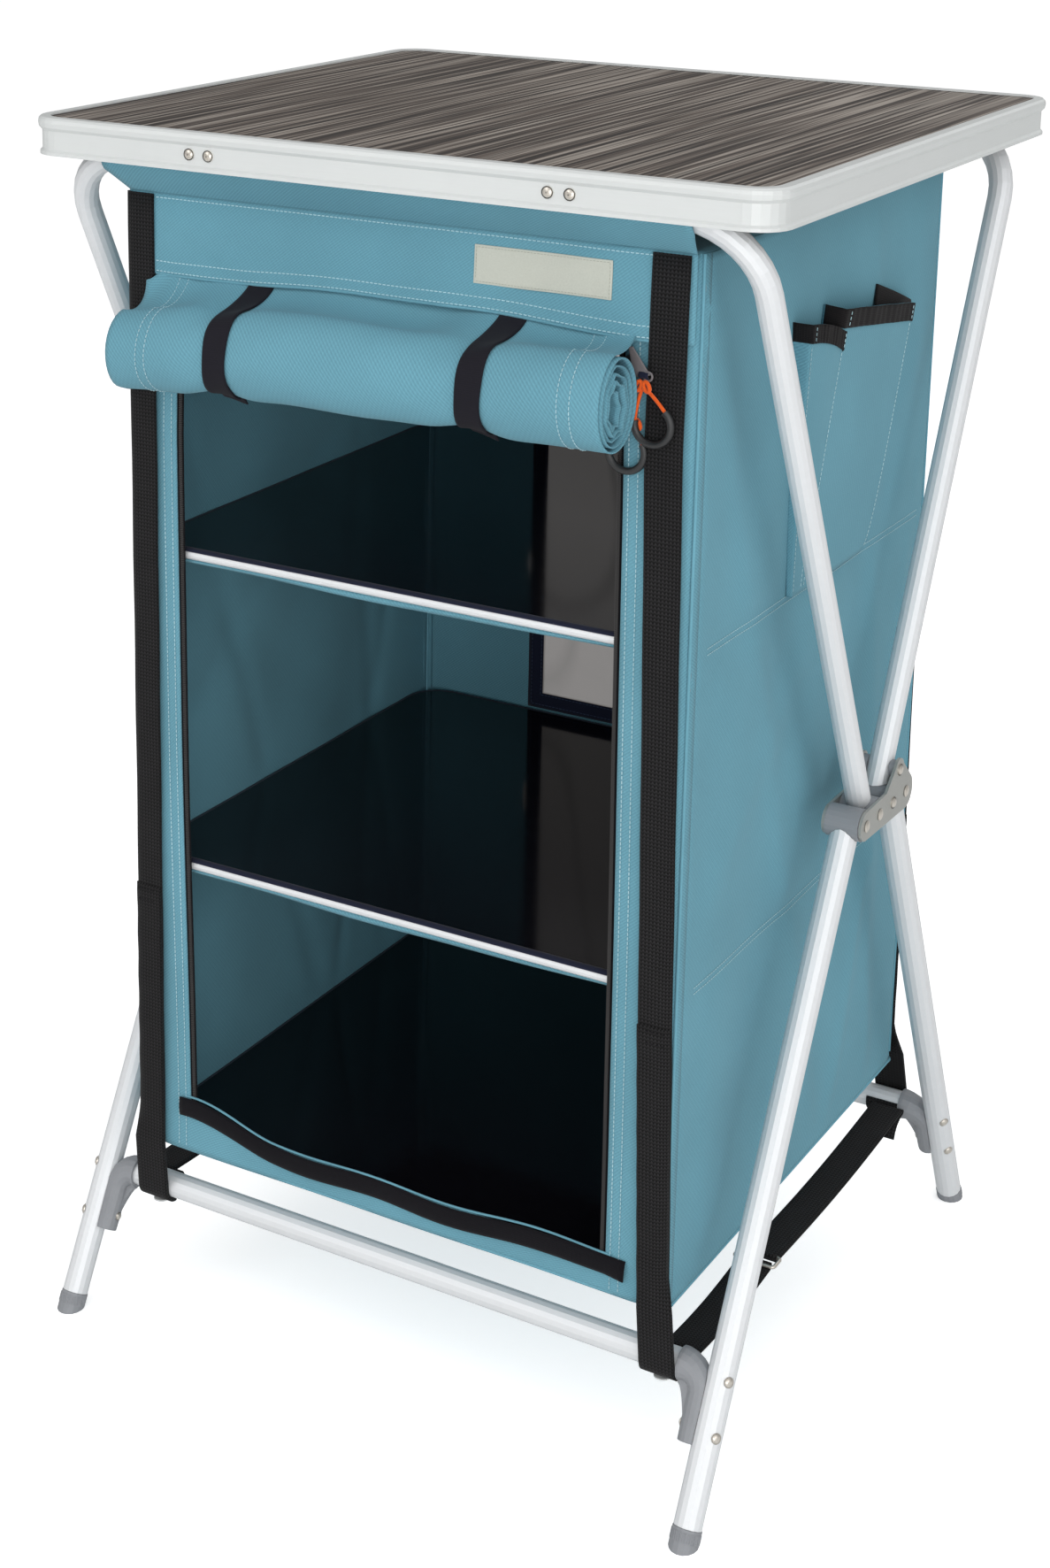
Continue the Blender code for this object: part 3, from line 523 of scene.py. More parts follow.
@dataclass(frozen=True)
class StripedLaminate(Finish):
    """Printed tabletop laminate: thin uneven brown lines that run from front to back."""

    name: str = "striped_laminate"
    dark: Colour = (0.02, 0.014, 0.011)
    brown: Colour = (0.074, 0.058, 0.048)
    pale: Colour = (0.37, 0.33, 0.29)

    def paint(self, graph: Graph) -> None:
        """Brown stripes of two widths, with pale hairlines over them.

        Args:
            graph: the material's nodes.
        """
        broad = graph.drawn_out((95.0, 2.0, 1.0), 1.0)
        fine = graph.drawn_out((330.0, 3.0, 1.0), 2.0)
        hair = graph.drawn_out((240.0, 1.6, 1.0), 0.0)
        tone = graph.ramp(broad * 0.12 + fine * 0.88, (0.42, self.dark), (0.48, self.brown),
                          (0.55, shade(self.brown, 1.6)), (0.64, self.pale))
        line = graph.ramp(hair, (0.57, (0, 0, 0)), (0.62, (1, 1, 1)))
        graph.set(Base_Color=graph.mix(line * 0.5, tone, self.pale))
        graph.set(Roughness=fine * 0.14 + 0.42, Specular_IOR_Level=0.25)
        graph.bump(fine, 0.25, 0.00006)


@dataclass(frozen=True)
class GlossBoard(Finish):
    """Black gloss shelf laminate with a trace of orange peel."""

    name: str = "gloss_shelf"
    colour: Colour = (0.004, 0.0038, 0.0055)

    def paint(self, graph: Graph) -> None:
        """Near black, with the peel in its gloss.

        Args:
            graph: the material's nodes.
        """
        peel = graph.noise(graph.place(), 120.0, 2.0)
        graph.tint(peel, self.colour, 0.8, 1.3)
        graph.set(Roughness=peel * 0.05 + 0.07, Specular_IOR_Level=0.22)
        graph.bump(peel, 0.08, 0.00004)


@dataclass(frozen=True)
class WindowNet(Finish):
    """Fine net with a painted backlight glow, brighter at its top, and painted shade along pulled creases."""

    name: str = "window_net"
    colour: Colour = (0.12, 0.11, 0.105)
    hole: float = 0.0008
    # Painted light: the two emission colours, low and high on the net, stand in for the light from behind it; the third
    # is painted shade along its creases.
    shaded: Colour = (0.14, 0.133, 0.129)
    daylight: Colour = (0.305, 0.295, 0.29)
    creased: Colour = (0.06, 0.058, 0.056)
    lit_from: float = 0.56
    lit_to: float = 0.72

    def paint(self, graph: Graph) -> None:
        """Threads, the painted glow of the light that comes through, and painted shade along the creases in it.

        Args:
            graph: the material's nodes.
        """
        place = graph.place(uv=True)
        across, down = (graph.split(place, axis).ribs(self.hole) for axis in (0, 1))
        thread = (across * 0.5 + down * 0.5) * 0.05 + 0.94
        cloud = graph.noise(graph.place(), 22.0, 2.0)
        graph.tint(cloud, self.colour, 0.8, 1.25)
        # Painted light: an emission glow that brightens with height, standing in for the light from behind the net.
        lit = graph.node("ShaderNodeMapRange", {}, {"Value": graph.split(graph.place(), 2),
                                                    "From Min": self.lit_from, "From Max": self.lit_to})
        glow = graph.mix(lit, self.shaded, self.daylight)
        # Painted shade: dark lines in the emission along the net's creases.
        crease = graph.ramp(graph.drawn_out((7.0, 1.0, 3.0), 0.0),
                            (0.47, (0, 0, 0)), (0.5, (1, 1, 1)), (0.53, (0, 0, 0)))
        graph.set(Emission_Color=graph.mix(crease * 0.45, glow, self.creased), Emission_Strength=1.0)
        graph.set(Alpha=thread, Roughness=0.7, Specular_IOR_Level=0.2)
        graph.bump(thread, 0.3, 0.00005)


class Finishes:
    """Every material of the cupboard, made once."""

    def __init__(self) -> None:
        """Build them all."""
        teal = (0.125, 0.3, 0.375)
        self.teal = Cloth("teal_twill", teal).build()
        # Painted shade: a darker copy of the teal, not a separate cloth.
        self.lining = Cloth("teal_lining", shade(teal, 0.8), contrast=0.06).build()
        self.hook = Cloth("hook_tape", (0.006, 0.0055, 0.0075), 0.0009, 0.0, 0.00035, 0.35, 0.95, 0.04).build()
        self.navy_thread = Cloth("navy_thread", (0.035, 0.06, 0.12), 0.0006, 60.0, 0.00008, 0.2, 0.8, 0.2).build()
        self.navy = Cloth("navy_binding", (0.012, 0.015, 0.034), 0.0012, 90.0, 0.0001, 0.12, 0.85, 0.1).build()
        self.tie = Cloth("tie_tape", (0.0105, 0.0098, 0.0145), 0.0009, 90.0, 0.0001, 0.1, 0.8, 0.03).build()
        self.thread = Cloth("pale_thread", (0.42, 0.62, 0.68), 0.0006, 60.0, 0.00008, 0.2, 0.8, 0.2).build()
        self.piping = Cloth("teal_piping", shade(teal, 1.1), 0.001, 45.0, 0.00008, 0.1).build()
        self.label = Cloth("label_patch", (0.5, 0.51, 0.45), 0.0008, 30.0, 0.00003, 0.03, 0.6, 0.0).build()
        self.label_thread = Moulded("label_thread", (0.33, 0.34, 0.29), 0.8).build()
        self.webbing = Webbing("black_web", (0.0096, 0.0092, 0.0098)).build()
        self.elastic = Webbing("black_elastic", (0.0068, 0.0056, 0.006), 0.0012).build()
        self.edge = Cloth("edge_binding", (0.03, 0.042, 0.058), 0.001, 45.0, 0.00005, 0.1, 0.6, 0.1).build()
        self.tube = Anodised("anodised_tube", (0.745, 0.76, 0.775), (260.0, 260.0, 260.0), 0.6, 0.45).build()
        self.rim = Anodised("anodised_rim", (0.615, 0.635, 0.63), (30.0, 30.0, 900.0), 0.5, 0.12).build()
        self.plastic = Moulded("grey_moulding", (0.24, 0.25, 0.267), 0.52).build()
        self.grip = Moulded("black_grip", (0.02, 0.021, 0.022), 0.42).build()
        self.slider = Moulded("dark_slider", (0.05, 0.05, 0.055), 0.34, 0.7).build()
        self.tab = Moulded("grey_tab", (0.16, 0.145, 0.15), 0.45).build()
        self.teeth = Moulded("zip_coil", (0.03, 0.028, 0.028), 0.4).build()
        self.cord = Cloth("orange_cord", (0.86, 0.115, 0.012), 0.0009, 40.0, 0.0001, 0.12, 0.65, 0.2).build()
        self.steel = Moulded("zinc_plate", (0.36, 0.365, 0.345), 0.42, 0.55, 500.0, 0.00005).build()
        self.rivet = Moulded("rivet_head", (0.62, 0.58, 0.52), 0.34, 0.8).build()
        self.laminate = StripedLaminate().build()
        self.gloss = GlossBoard().build()
        self.net = WindowNet().build()


class Mesher:
    """Short modelling calls on bmesh operators."""

    @staticmethod
    def piece(
        bm: BMesh,
        name: str,
        finish: Material,
        slot: Slot | None,
        body: str = "frame",
        replaces: Sequence[str] = (),
        smooth: float | None = 40.0,
        recalc: bool = True,
        folds: bool = True,
    ) -> Object:
        """Turn a bmesh into a finished piece that rides on a body.

        Args:
            bm: the geometry, in place.
            name: the piece's name.
            finish: its material.
            slot: the record's slot, if it has one; not used.
            body: the body that it moves with.
            replaces: CAD nodes that it stands for.
            smooth: angle in degrees under which edges shade smooth, or None for flat shading.
            recalc: recalculate normals outward.
            folds: give it a mesh of its own, if it rides on the frame.

        Returns:
            The object.
        """
        if recalc:
            bmesh.ops.recalc_face_normals(bm, faces=bm.faces)
        mesh = bpy.data.meshes.new(name)
        bm.to_mesh(mesh)
        bm.free()
        mesh.materials.append(finish)
        if smooth is not None:
            mesh.shade_smooth()
            mesh.set_sharp_from_angle(angle=radians(smooth))
        obj = bpy.data.objects.new(name, mesh)
        bpy.context.scene.collection.objects.link(obj)
        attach(obj, body)
        if folds and body == "frame":
            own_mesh(obj)
        if replaces:
            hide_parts(*replaces)
        LOG.info("%s: %d faces on %s", name, len(mesh.polygons), body)
        return obj

    @staticmethod
    def grid(across: int, along: int) -> BMesh:
        """Unit grid from (0, 0) to (1, 1) with a UV layer.

        Args:
            across: cells along X.
            along: cells along Y.

        Returns:
            The grid.
        """
        bm = bmesh.new()
        bm.loops.layers.uv.new("UVMap")
        bmesh.ops.create_grid(bm, x_segments=across, y_segments=along, size=0.5, calc_uvs=True)
        bmesh.ops.translate(bm, vec=(0.5, 0.5, 0), verts=bm.verts)
        return bm

    @staticmethod
    def mapped(bm: BMesh, rule: Rule) -> BMesh:
        """Move each point of a unit grid to where a rule of its two shares puts it."""
        for vert in bm.verts:
            vert.co = rule(vert.co.x, vert.co.y)
        return bm

    @staticmethod
    def scale_uv(bm: BMesh, width: float, height: float) -> None:
        """Give a unit grid's UV map its size in metres.

        Args:
            bm: the grid.
            width: its size along U.
            height: its size along V.
        """
        layer = bm.loops.layers.uv.active
        for face in bm.faces:
            for loop in face.loops:
                u, v = loop[layer].uv
                loop[layer].uv = (u * width, v * height)

    @staticmethod
    def cut_out(bm: BMesh, hole: tuple[Point2, Point2]) -> None:
        """Cut a window out of a unit grid.

        Args:
            bm: the grid.
            hole: shares across and shares along between which it is cut out.
        """
        for axis, limits in enumerate(hole):
            normal = Vector((0, 0, 0))
            normal[axis] = 1
            for limit in limits:
                bmesh.ops.bisect_plane(
                    bm, geom=[*bm.verts, *bm.edges, *bm.faces], plane_co=normal * limit, plane_no=normal, dist=1e-6
                )
        inside = [
            face for face in bm.faces
            if all(low < face.calc_center_median()[axis] < high for axis, (low, high) in enumerate(hole))
        ]
        bmesh.ops.delete(bm, geom=inside, context="FACES")

    @staticmethod
    def thicken(obj: Object, thickness: float) -> Object:
        """Give a sheet its thickness, half to each side.

        Args:
            obj: the sheet.
            thickness: what it gets.

        Returns:
            The sheet.
        """
        wall = obj.modifiers.new("thickness", "SOLIDIFY")
        wall.thickness = thickness
        wall.offset = 0.0
        return obj

    @staticmethod
    def round_edges(obj: Object) -> None:
        """Round the edges of a small flat piece."""
        edge = obj.modifiers.new("edge", "BEVEL")
        edge.width = 0.0004
        edge.segments = 2

    @staticmethod
    def sheet(
        name: str,
        cells: tuple[int, int],
        size: Point2,
        rule: Rule,
        thickness: float,
        finish: Material,
        slot: Slot | None = Slot.CLOTH,
        hole: tuple[Point2, Point2] | None = None,
        **options: object,
    ) -> Object:
        """Sheet of even squares that a rule lays out.

        Args:
            name: the piece's name.
            cells: squares across and along.
            size: width and height in metres, for the weave.
            rule: place of the point at two shares.
            thickness: its thickness, or zero for a single layer.
            finish: its material.
            slot: the record's slot, if it has one.
            hole: shares across and along between which it is cut out.
            options: anything else that piece() takes.

        Returns:
            The object.
        """
        bm = Mesher.grid(*cells)
        Mesher.scale_uv(bm, *size)
        if hole:
            Mesher.cut_out(bm, hole)
        obj = Mesher.piece(Mesher.mapped(bm, rule), name, finish, slot, **options)
        return Mesher.thicken(obj, thickness) if thickness else obj

    @staticmethod
    def strip(name: str, path: Sequence[Point2], ends: Point2, across: int, thickness: float,
              finish: Material, slot: Slot | None, shape: Callable[[Vector], Sequence[float]] | None = None,
              **options: object) -> Object:
        """Tape seen edge on in Y-Z, running across X, with UVs in metres.

        Args:
            name: the piece's name.
            path: the tape's middle, as (y, z) points.
            ends: its left and right edges along X.
            across: faces across its width.
            thickness: its thickness.
            finish: its material.
            slot: the record's slot.
            shape: where a point of the flat tape goes, if it isn't flat.
            options: anything else that piece() takes.

        Returns:
            The object.
        """
        lengths = [0.0]
        for a, b in zip(path, path[1:]):
            lengths.append(lengths[-1] + dist(a, b))
        bm = Mesher.grid(across, len(path) - 1)
        layer = bm.loops.layers.uv.active
        last = len(path) - 1
        width = ends[1] - ends[0]
        for face in bm.faces:
            for loop in face.loops:
                loop[layer].uv = (loop.vert.co.x * width, lengths[round(loop.vert.co.y * last)])
        for vert in bm.verts:
            vert.co = (ends[0] + vert.co.x * width, *path[round(vert.co.y * last)])
            if shape:
                vert.co = shape(vert.co)
        return Mesher.thicken(Mesher.piece(bm, name, finish, slot, **options), thickness)

    @staticmethod
    def rod(start: Sequence[float], end: Sequence[float], radius: float, sides: int = 12) -> BMesh:
        """Cylinder between two points.

        Args:
            start: middle of one end.
            end: middle of the other.
            radius: its radius.
            sides: number of sides.

        Returns:
            A closed mesh.
        """
        a, b = Vector(start), Vector(end)
        run = b - a
        bm = bmesh.new()
        bmesh.ops.create_cone(
            bm, cap_ends=True, segments=sides, radius1=radius, radius2=radius, depth=run.length
        )
        bmesh.ops.transform(bm, matrix=aimed((a + b) / 2, run), verts=bm.verts)
        return bm

    @staticmethod
    def merge(target: BMesh, other: BMesh) -> None:
        """Add one bmesh's geometry to another.

        Args:
            target: the mesh that it joins.
            other: the mesh that is added, and freed.
        """
        mesh = bpy.data.meshes.new("merge")
        other.to_mesh(mesh)
        other.free()
        target.from_mesh(mesh)
        bpy.data.meshes.remove(mesh)

    @staticmethod
    def bar(whole: BMesh, size: Point, turn: Matrix, place: Point) -> None:
        """Add a small bar.

        Args:
            whole: the mesh it joins.
            size: its sizes along X, Y and Z.
            turn: how it is turned.
            place: its middle.
        """
        made = bmesh.ops.create_cube(whole, size=1.0)["verts"]
        bmesh.ops.scale(whole, vec=size, verts=made)
        bmesh.ops.rotate(whole, matrix=turn, verts=made)
        bmesh.ops.translate(whole, vec=place, verts=made)

    @staticmethod
    def dome(radius: float, height: float, rim: float, sides: int = 20) -> BMesh:
        """Low domed head on a short rim, standing up from the origin along Z.

        Args:
            radius: the head's radius.
            height: height of the dome over the rim.
            rim: height of the rim.
            sides: number of sides.

        Returns:
            A closed mesh.
        """
        bm = bmesh.new()
        bmesh.ops.create_cone(bm, cap_ends=True, segments=sides, radius1=radius, radius2=radius, depth=rim)
        bmesh.ops.translate(bm, vec=(0, 0, rim / 2), verts=bm.verts)
        for share, drop in ((0.86, 0.45), (0.6, 0.8), (0.25, 0.97)):
            top = [f for f in bm.faces if f.normal.z > 0.9]
            bmesh.ops.inset_region(bm, faces=top, thickness=radius * 0.14, depth=0.0)
            for vert in {v for f in bm.faces if f.normal.z > 0.9 and len(f.verts) > 4 for v in f.verts}:
                flat = Vector((vert.co.x, vert.co.y, 0)).normalized() * radius * share
                vert.co = (flat.x, flat.y, rim + height * drop)
        return bm

    @staticmethod
    def tube(points: Sequence[Point], radius: float, sides: int = 2, closed: bool = False) -> BMesh:
        """Round cord or wire along points, with UVs in metres along it.

        Args:
            points: where it runs.
            radius: its radius.
            sides: bevel resolution.
            closed: join the last point to the first.

        Returns:
            The mesh.
        """
        curve = bpy.data.curves.new("guide", "CURVE")
        curve.dimensions = "3D"
        curve.bevel_depth = radius
        curve.bevel_resolution = sides
        curve.use_fill_caps = True
        spline = curve.splines.new("POLY")
        spline.points.add(len(points) - 1)
        for knot, point in zip(spline.points, points):
            knot.co = (*point, 1.0)
        spline.use_cyclic_u = closed
        guide = bpy.data.objects.new("guide", curve)
        bpy.context.scene.collection.objects.link(guide)
        mesh = bpy.data.meshes.new_from_object(guide.evaluated_get(bpy.context.evaluated_depsgraph_get()))
        bm = bmesh.new()
        bm.from_mesh(mesh)
        bmesh.ops.remove_doubles(bm, verts=bm.verts, dist=1e-6)
        bpy.data.objects.remove(guide, do_unlink=True)
        bpy.data.curves.remove(curve)
        bpy.data.meshes.remove(mesh)
        return bm

    @staticmethod
    def cord(name: str, points: Sequence[Point], radius: float, finish: Material, slot: Slot | None,
             sides: int = 2, closed: bool = False, **options: object) -> Object:
        """Piece made of one cord or wire.

        Args:
            name: the piece's name.
            points: where it runs.
            radius: its radius.
            finish: its material.
            slot: the record's slot, if it has one.
            sides: bevel resolution.
            closed: join the last point to the first.
            options: anything else that piece() takes.

        Returns:
            The object.
        """
        return Mesher.piece(Mesher.tube(points, radius, sides, closed), name, finish, slot, **options)


def stitches(name: str, rows: Iterable[Sequence[Point]], finish: Material, length: float = 0.0024,
             gap: float = 0.0011, radius: float = 0.00032, slot: Slot | None = Slot.CLOTH) -> None:
    """Rows of separate thread stitches, made as one piece.

    Args:
        name: the piece's name.
        rows: the lines of points that the rows follow, on the cloth's face.
        finish: the thread's material.
        length: one stitch.
        gap: between stitches.
        radius: the thread's radius.
        slot: the record's slot.
    """
    whole, one = bmesh.new(), bmesh.new()
    stamp = bpy.data.meshes.new("stitch")
    one.loops.layers.uv.new("UVMap")
    bmesh.ops.create_cone(one, cap_ends=True, segments=6, radius1=radius * 0.8, radius2=radius * 0.8, depth=length,
                          calc_uvs=True)
    for vert in one.verts:
        vert.co.y *= 1.2
    along = [e for e in one.edges if abs(e.verts[0].co.z - e.verts[1].co.z) > length / 2]
    bmesh.ops.subdivide_edges(one, edges=along, cuts=1)
    for vert in one.verts:
        if abs(vert.co.z) < length / 4:
            vert.co.x *= 1.35
            vert.co.y *= 1.35
    one.to_mesh(stamp)
    one.free()
    for row in rows:
        points = [Vector(p) for p in row]
        spans = [(a, b, (b - a).length) for a, b in zip(points, points[1:])]
        total = sum(size for _, _, size in spans)
        count = max(1, int(total / (length + gap)))
        step = total / count
        for i in range(count):
            at = step * (i + 0.5)
            for a, b, size in spans:
                if at <= size:
                    break
                at -= size
            run = (b - a).normalized()
            before = len(whole.verts)
            whole.from_mesh(stamp)
            whole.verts.ensure_lookup_table()
            bmesh.ops.transform(whole, matrix=aimed(a + run * min(at, size), run), verts=whole.verts[before:])
    bpy.data.meshes.remove(stamp)
    Mesher.piece(whole, name, finish, slot, smooth=60.0, recalc=False)


@dataclass
class Cabinet:
    """The sewn cabinet: four walls, floor, top, collars on the bows, window and trims."""

    finishes: Finishes
    step: float = 0.006
    fold: float = 0.0016
    seam_proud: float = 0.0004
    seams: Point2 = (0.647, 0.3935)
    seam_rows: Point2 = (0.0, -0.0045)
    corner_edge: float = PLAN.corner * (1 - sqrt(0.5))
    band_half: float = 0.23
    band_foot: float = PLAN.hem_z - 0.0006
    band_proud: float = 0.002
    bar_front: Point2 = (-0.2528 + MIDDLE, 0.9535)
    bar_rear: Point2 = (0.2511 + MIDDLE, 0.9535)
    bar_radius: float = 0.0095
    window: Point = (0.1262, 0.3985, 0.846)
    pane_reach: float = 0.004
    binding: float = 0.0145
    binding_reach: float = 0.001
    tape: float = 0.0052
    tape_under: float = 0.003
    coils: int = 450
    coil_size: Point = (0.003, 0.0012, 0.00085)
    hook_start: float = -0.194
    hook_size: Point2 = (0.396, 0.0152)
    hook_foot: float = 0.1793
    label_x: Point2 = (0.064, 0.1695)
    label_z: Point2 = (0.888, 0.915)

    @staticmethod
    def opening(half: float, low: float, high: float) -> tuple[Point2, Point2]:
        """Shares of the front or rear wall that an opening takes up.

        Args:
            half: half its width.
            low: its foot.
            high: its top.

        Returns:
            Its shares across and its shares along.
        """
        edge = (PLAN.half_x - half) / PLAN.width
        return (edge, 1 - edge), ((low - PLAN.floor_z) / PLAN.height, (high - PLAN.floor_z) / PLAN.height)

    def side_bulge(self, y: float, z: float) -> float:
        """Soft hanging folds of a side wall, strained flat at its seams.

        Args:
            y: place along the wall.
            z: height.

        Returns:
            How far it stands out there.
        """
        high = (z - PLAN.floor_z) / PLAN.height
        edge = min(1.0, (y - PLAN.front_y) / 0.05, (PLAN.rear_y - y) / 0.05)
        edge = max(0.0, edge * min(1.0, high / 0.06, (1 - high) / 0.04))
        folds = 0.5 + 0.5 * sin(y * 46.0 + 2.2 * sin(z * 5.0) + 0.8)
        slant = swell(y * 0.75 + z, 0.48, 0.03) + 0.8 * swell(y * 0.9 - z, -0.62, 0.026)
        drag = swell(y + 0.35 * z, 0.1, 0.014) + swell(y - 0.25 * z, 0.03, 0.01) + swell(y + 0.1 * z, 0.17, 0.012)
        inset = y - PLAN.front_y
        rays = swell(z - 0.5 * inset, 0.882, 0.006) + swell(z - 0.12 * inset, 0.866, 0.005)
        hang = swell(inset - 0.3 * (0.92 - z), 0.105, 0.008)
        drag += 0.9 * rays * max(0.0, 1.0 - inset / 0.15) + 0.7 * hang * high**4
        lower = 1.0 + 0.9 * (1.0 - high)
        pinch = 1.0 - 0.75 * max(swell(z, seam, 0.012) for seam in self.seams)
        return edge * self.fold * pinch * (folds * lower + 1.3 * slant + 1.5 * drag * (1.0 - 0.6 * high))

    @staticmethod
    def front_wave(x: float, z: float) -> float:
        """Small waves of the front wall, as a distance towards the front."""
        low = max(0.0, 1.0 - (z - PLAN.floor_z) / 0.12)
        return 0.0009 * low * (0.5 + 0.5 * sin(x * 34.0 + 0.6)) + 0.0005 * (0.5 + 0.5 * sin(z * 21 + x * 9))

    @staticmethod
    def sill_drop(x: float) -> float:
        """How far the doorway's sill sags below its left end, as a negative height."""
        share = clamp((x + 0.19) / 0.085)
        return -0.014 * share * share * (3 - 2 * share)

    @staticmethod
    def corner_lift(near: float, z: float) -> float:
        """Rise of the cabinet's lower corners, where the floor seam is drawn in."""
        return 0.007 * max(0.0, 1 - near / 0.03) ** 2 * max(0.0, 1 - (z - PLAN.floor_z) / 0.04)

    def wall(self, name: str, side: Side) -> None:
        """One side wall and the stitches of its two seams.

        Args:
            name: the piece's name.
            side: which wall.
        """
        def rule(u: float, v: float) -> Point:
            """Place on the wall."""
            y, z = PLAN.front_y + u * PLAN.depth, PLAN.floor_z + v * PLAN.height
            x = PLAN.half_x - PLAN.cloth / 2 + self.side_bulge(y, z)
            near = min(y - PLAN.front_y, PLAN.rear_y - y)
            z += self.corner_lift(near, z)
            if near < PLAN.corner:
                out, back = PLAN.rounded(near, False)
                x = PLAN.half_x - PLAN.corner - PLAN.cloth / 2 + out
                y = PLAN.front_y + back if y < 0 else PLAN.rear_y - back
            return side.value * x, y, z

        cells = (round(PLAN.depth / self.step), round(PLAN.height / self.step))
        obj = Mesher.sheet(name, cells, (PLAN.depth, PLAN.height), rule, PLAN.cloth, self.finishes.teal)
        margin = 0.024
        rows = [
            [(side.value * (PLAN.half_x + self.seam_proud + self.side_bulge(y, z)), y, z)
             for y in spread(PLAN.front_y + margin, PLAN.depth - 2 * margin, 40)]
            for z in (seam + shift for seam in self.seams for shift in self.seam_rows)
        ]
        stitches(f"{name}_seams", rows, self.finishes.thread, radius=0.00024)

    def face(self, name: str, rule: Rule, hole: Point, rests_on: str, **options: object) -> None:
        """Front or rear wall round its opening.

        Args:
            name: the piece's name.
            rule: place of the point at two shares.
            hole: half the opening's width, its foot and its top.
            rests_on: the sheet that it is sewn to; not used.
            options: anything else that Mesher.piece takes.
        """
        half, low, high = hole
        cells = (round(PLAN.width / self.step), round(PLAN.height / self.step))
        obj = Mesher.sheet(name, cells, (PLAN.width, PLAN.height), rule, PLAN.cloth, self.finishes.teal,
                           hole=self.opening(half, low, high), **options)

    def front(self) -> None:
        """Front wall round the doorway, with its sagging sill."""
        def rule(u: float, v: float) -> Point:
            """Place on the front."""
            x, z = -PLAN.half_x + u * PLAN.width, PLAN.floor_z + v * PLAN.height
            side = Side.LEFT if x < 0 else Side.RIGHT
            out = abs(x)
            shift = PLAN.door_edge(side, z) - PLAN.door_x
            fade = out / PLAN.door_x if out <= PLAN.door_x else max(0.0, 1 - (out - PLAN.door_x) / 0.04)
            beside = 1.0 if out <= PLAN.door_x else fade
            if z <= PLAN.door_z:
                hang = (z - PLAN.floor_z) / (PLAN.door_z - PLAN.floor_z)
            else:
                hang = max(0.0, 1 - (z - PLAN.door_z) / 0.06)
            z += self.sill_drop(x) * beside * hang + self.corner_lift(PLAN.half_x - out, z)
            out, back = PLAN.wrapped(out)
            return side.value * (out + shift * fade), PLAN.front_y + PLAN.cloth / 2 + back - self.front_wave(x, z), z

        self.face("front_wall", rule, (PLAN.door_x, PLAN.door_z, PLAN.hem_z), "left_wall", replaces=["fabric_cabinet"])

    def back(self) -> None:
        """Back wall round the window."""
        half, low, high = self.window

        def rule(u: float, v: float) -> Point:
            """Place on the back."""
            x, z = -PLAN.half_x + u * PLAN.width, PLAN.floor_z + v * PLAN.height
            edge = min(1.0, u / 0.08, (1 - u) / 0.08, v / 0.05, (1 - v) / 0.05)
            near = min(1.0, max(0.0, (abs(x) - half) / 0.05) + max(0.0, (low - z) / 0.06) + max(0.0, (z - high) / 0.05))
            wave = 0.5 + 0.5 * sin(x * 40 + 1.4 * sin(z * 6))
            out, back = PLAN.wrapped(abs(x))
            y = PLAN.rear_y - PLAN.cloth / 2 - back + self.fold * edge * near * wave
            return copysign(out, x), y, z

        self.face("back_wall", rule, self.window, "bottom_panel")
        self.window_pane()

    def window_pane(self) -> None:
        """Net pane, its bound edge inside and outside, and the stitches of the binding."""
        half, low, high = self.window
        reach, edge = self.pane_reach, self.binding_reach

        def pane(u: float, v: float) -> Point:
            """Place on the pane, with two pulled creases."""
            x, z = -half - reach + u * 2 * (half + reach), low - reach + v * (high - low + 2 * reach)
            crease = swell(x * 0.9 - z, -0.6, 0.012) + 0.6 * swell(x * 1.3 + z, 0.6, 0.01)
            return x, PLAN.rear_y - 0.001 - 0.0016 * crease, z

        obj = Mesher.sheet("window_net_pane", (40, 72), (2 * half, high - low), pane, 0.0, self.finishes.net,
                           Slot.WINDOW, replaces=["window_mesh"])
        wide, tall = 2 * half + 2 * edge, high - low + 2 * edge
        hole = tuple((self.binding / size, 1 - self.binding / size) for size in (wide, tall))
        for word, offset in (("inner", -0.0022), ("outer", 0.0006)):
            Mesher.sheet(f"window_binding_{word}", (48, 96), (wide, tall),
                         lambda u, v: (-wide / 2 + u * wide, PLAN.rear_y + offset, low - edge + v * tall),
                         0.0009, self.finishes.navy, hole=hole)
        rows = []
        margin = 0.0025
        for inset in (margin, self.binding - margin):
            x1, z0, z1 = half - inset, low + inset, high - inset
            ring = [(-x1, z0), (x1, z0), (x1, z1), (-x1, z1), (-x1, z0)]
            rows += [[(x, PLAN.rear_y + proud, z) for x, z in ring] for proud in (-0.0029, 0.0014)]
        stitches("window_stitches", rows, self.finishes.navy_thread, radius=0.00028)

    def floor_and_top(self) -> None:
        """Bottom panel and the top sheet under the table."""
        inset = 0.0015
        for name, z in (("bottom_panel", PLAN.floor_z + 0.0009), ("top_panel", PLAN.seam_z - 0.0006)):
            def rule(u: float, v: float) -> Point:
                """Place on the sheet, which sags a little and is tucked in at its ends."""
                tuck = 1 - 0.012 * (abs(2 * v - 1) > 0.98)
                return ((-PLAN.half_x + inset + u * (PLAN.width - 2 * inset)) * tuck,
                        PLAN.front_y + inset + v * (PLAN.depth - 2 * inset),
                        z - 0.0008 * sin(u * pi) * sin(v * pi))

            panel = Mesher.sheet(name, (40, 40), (PLAN.width, PLAN.depth), rule, 0.0012, self.finishes.teal)

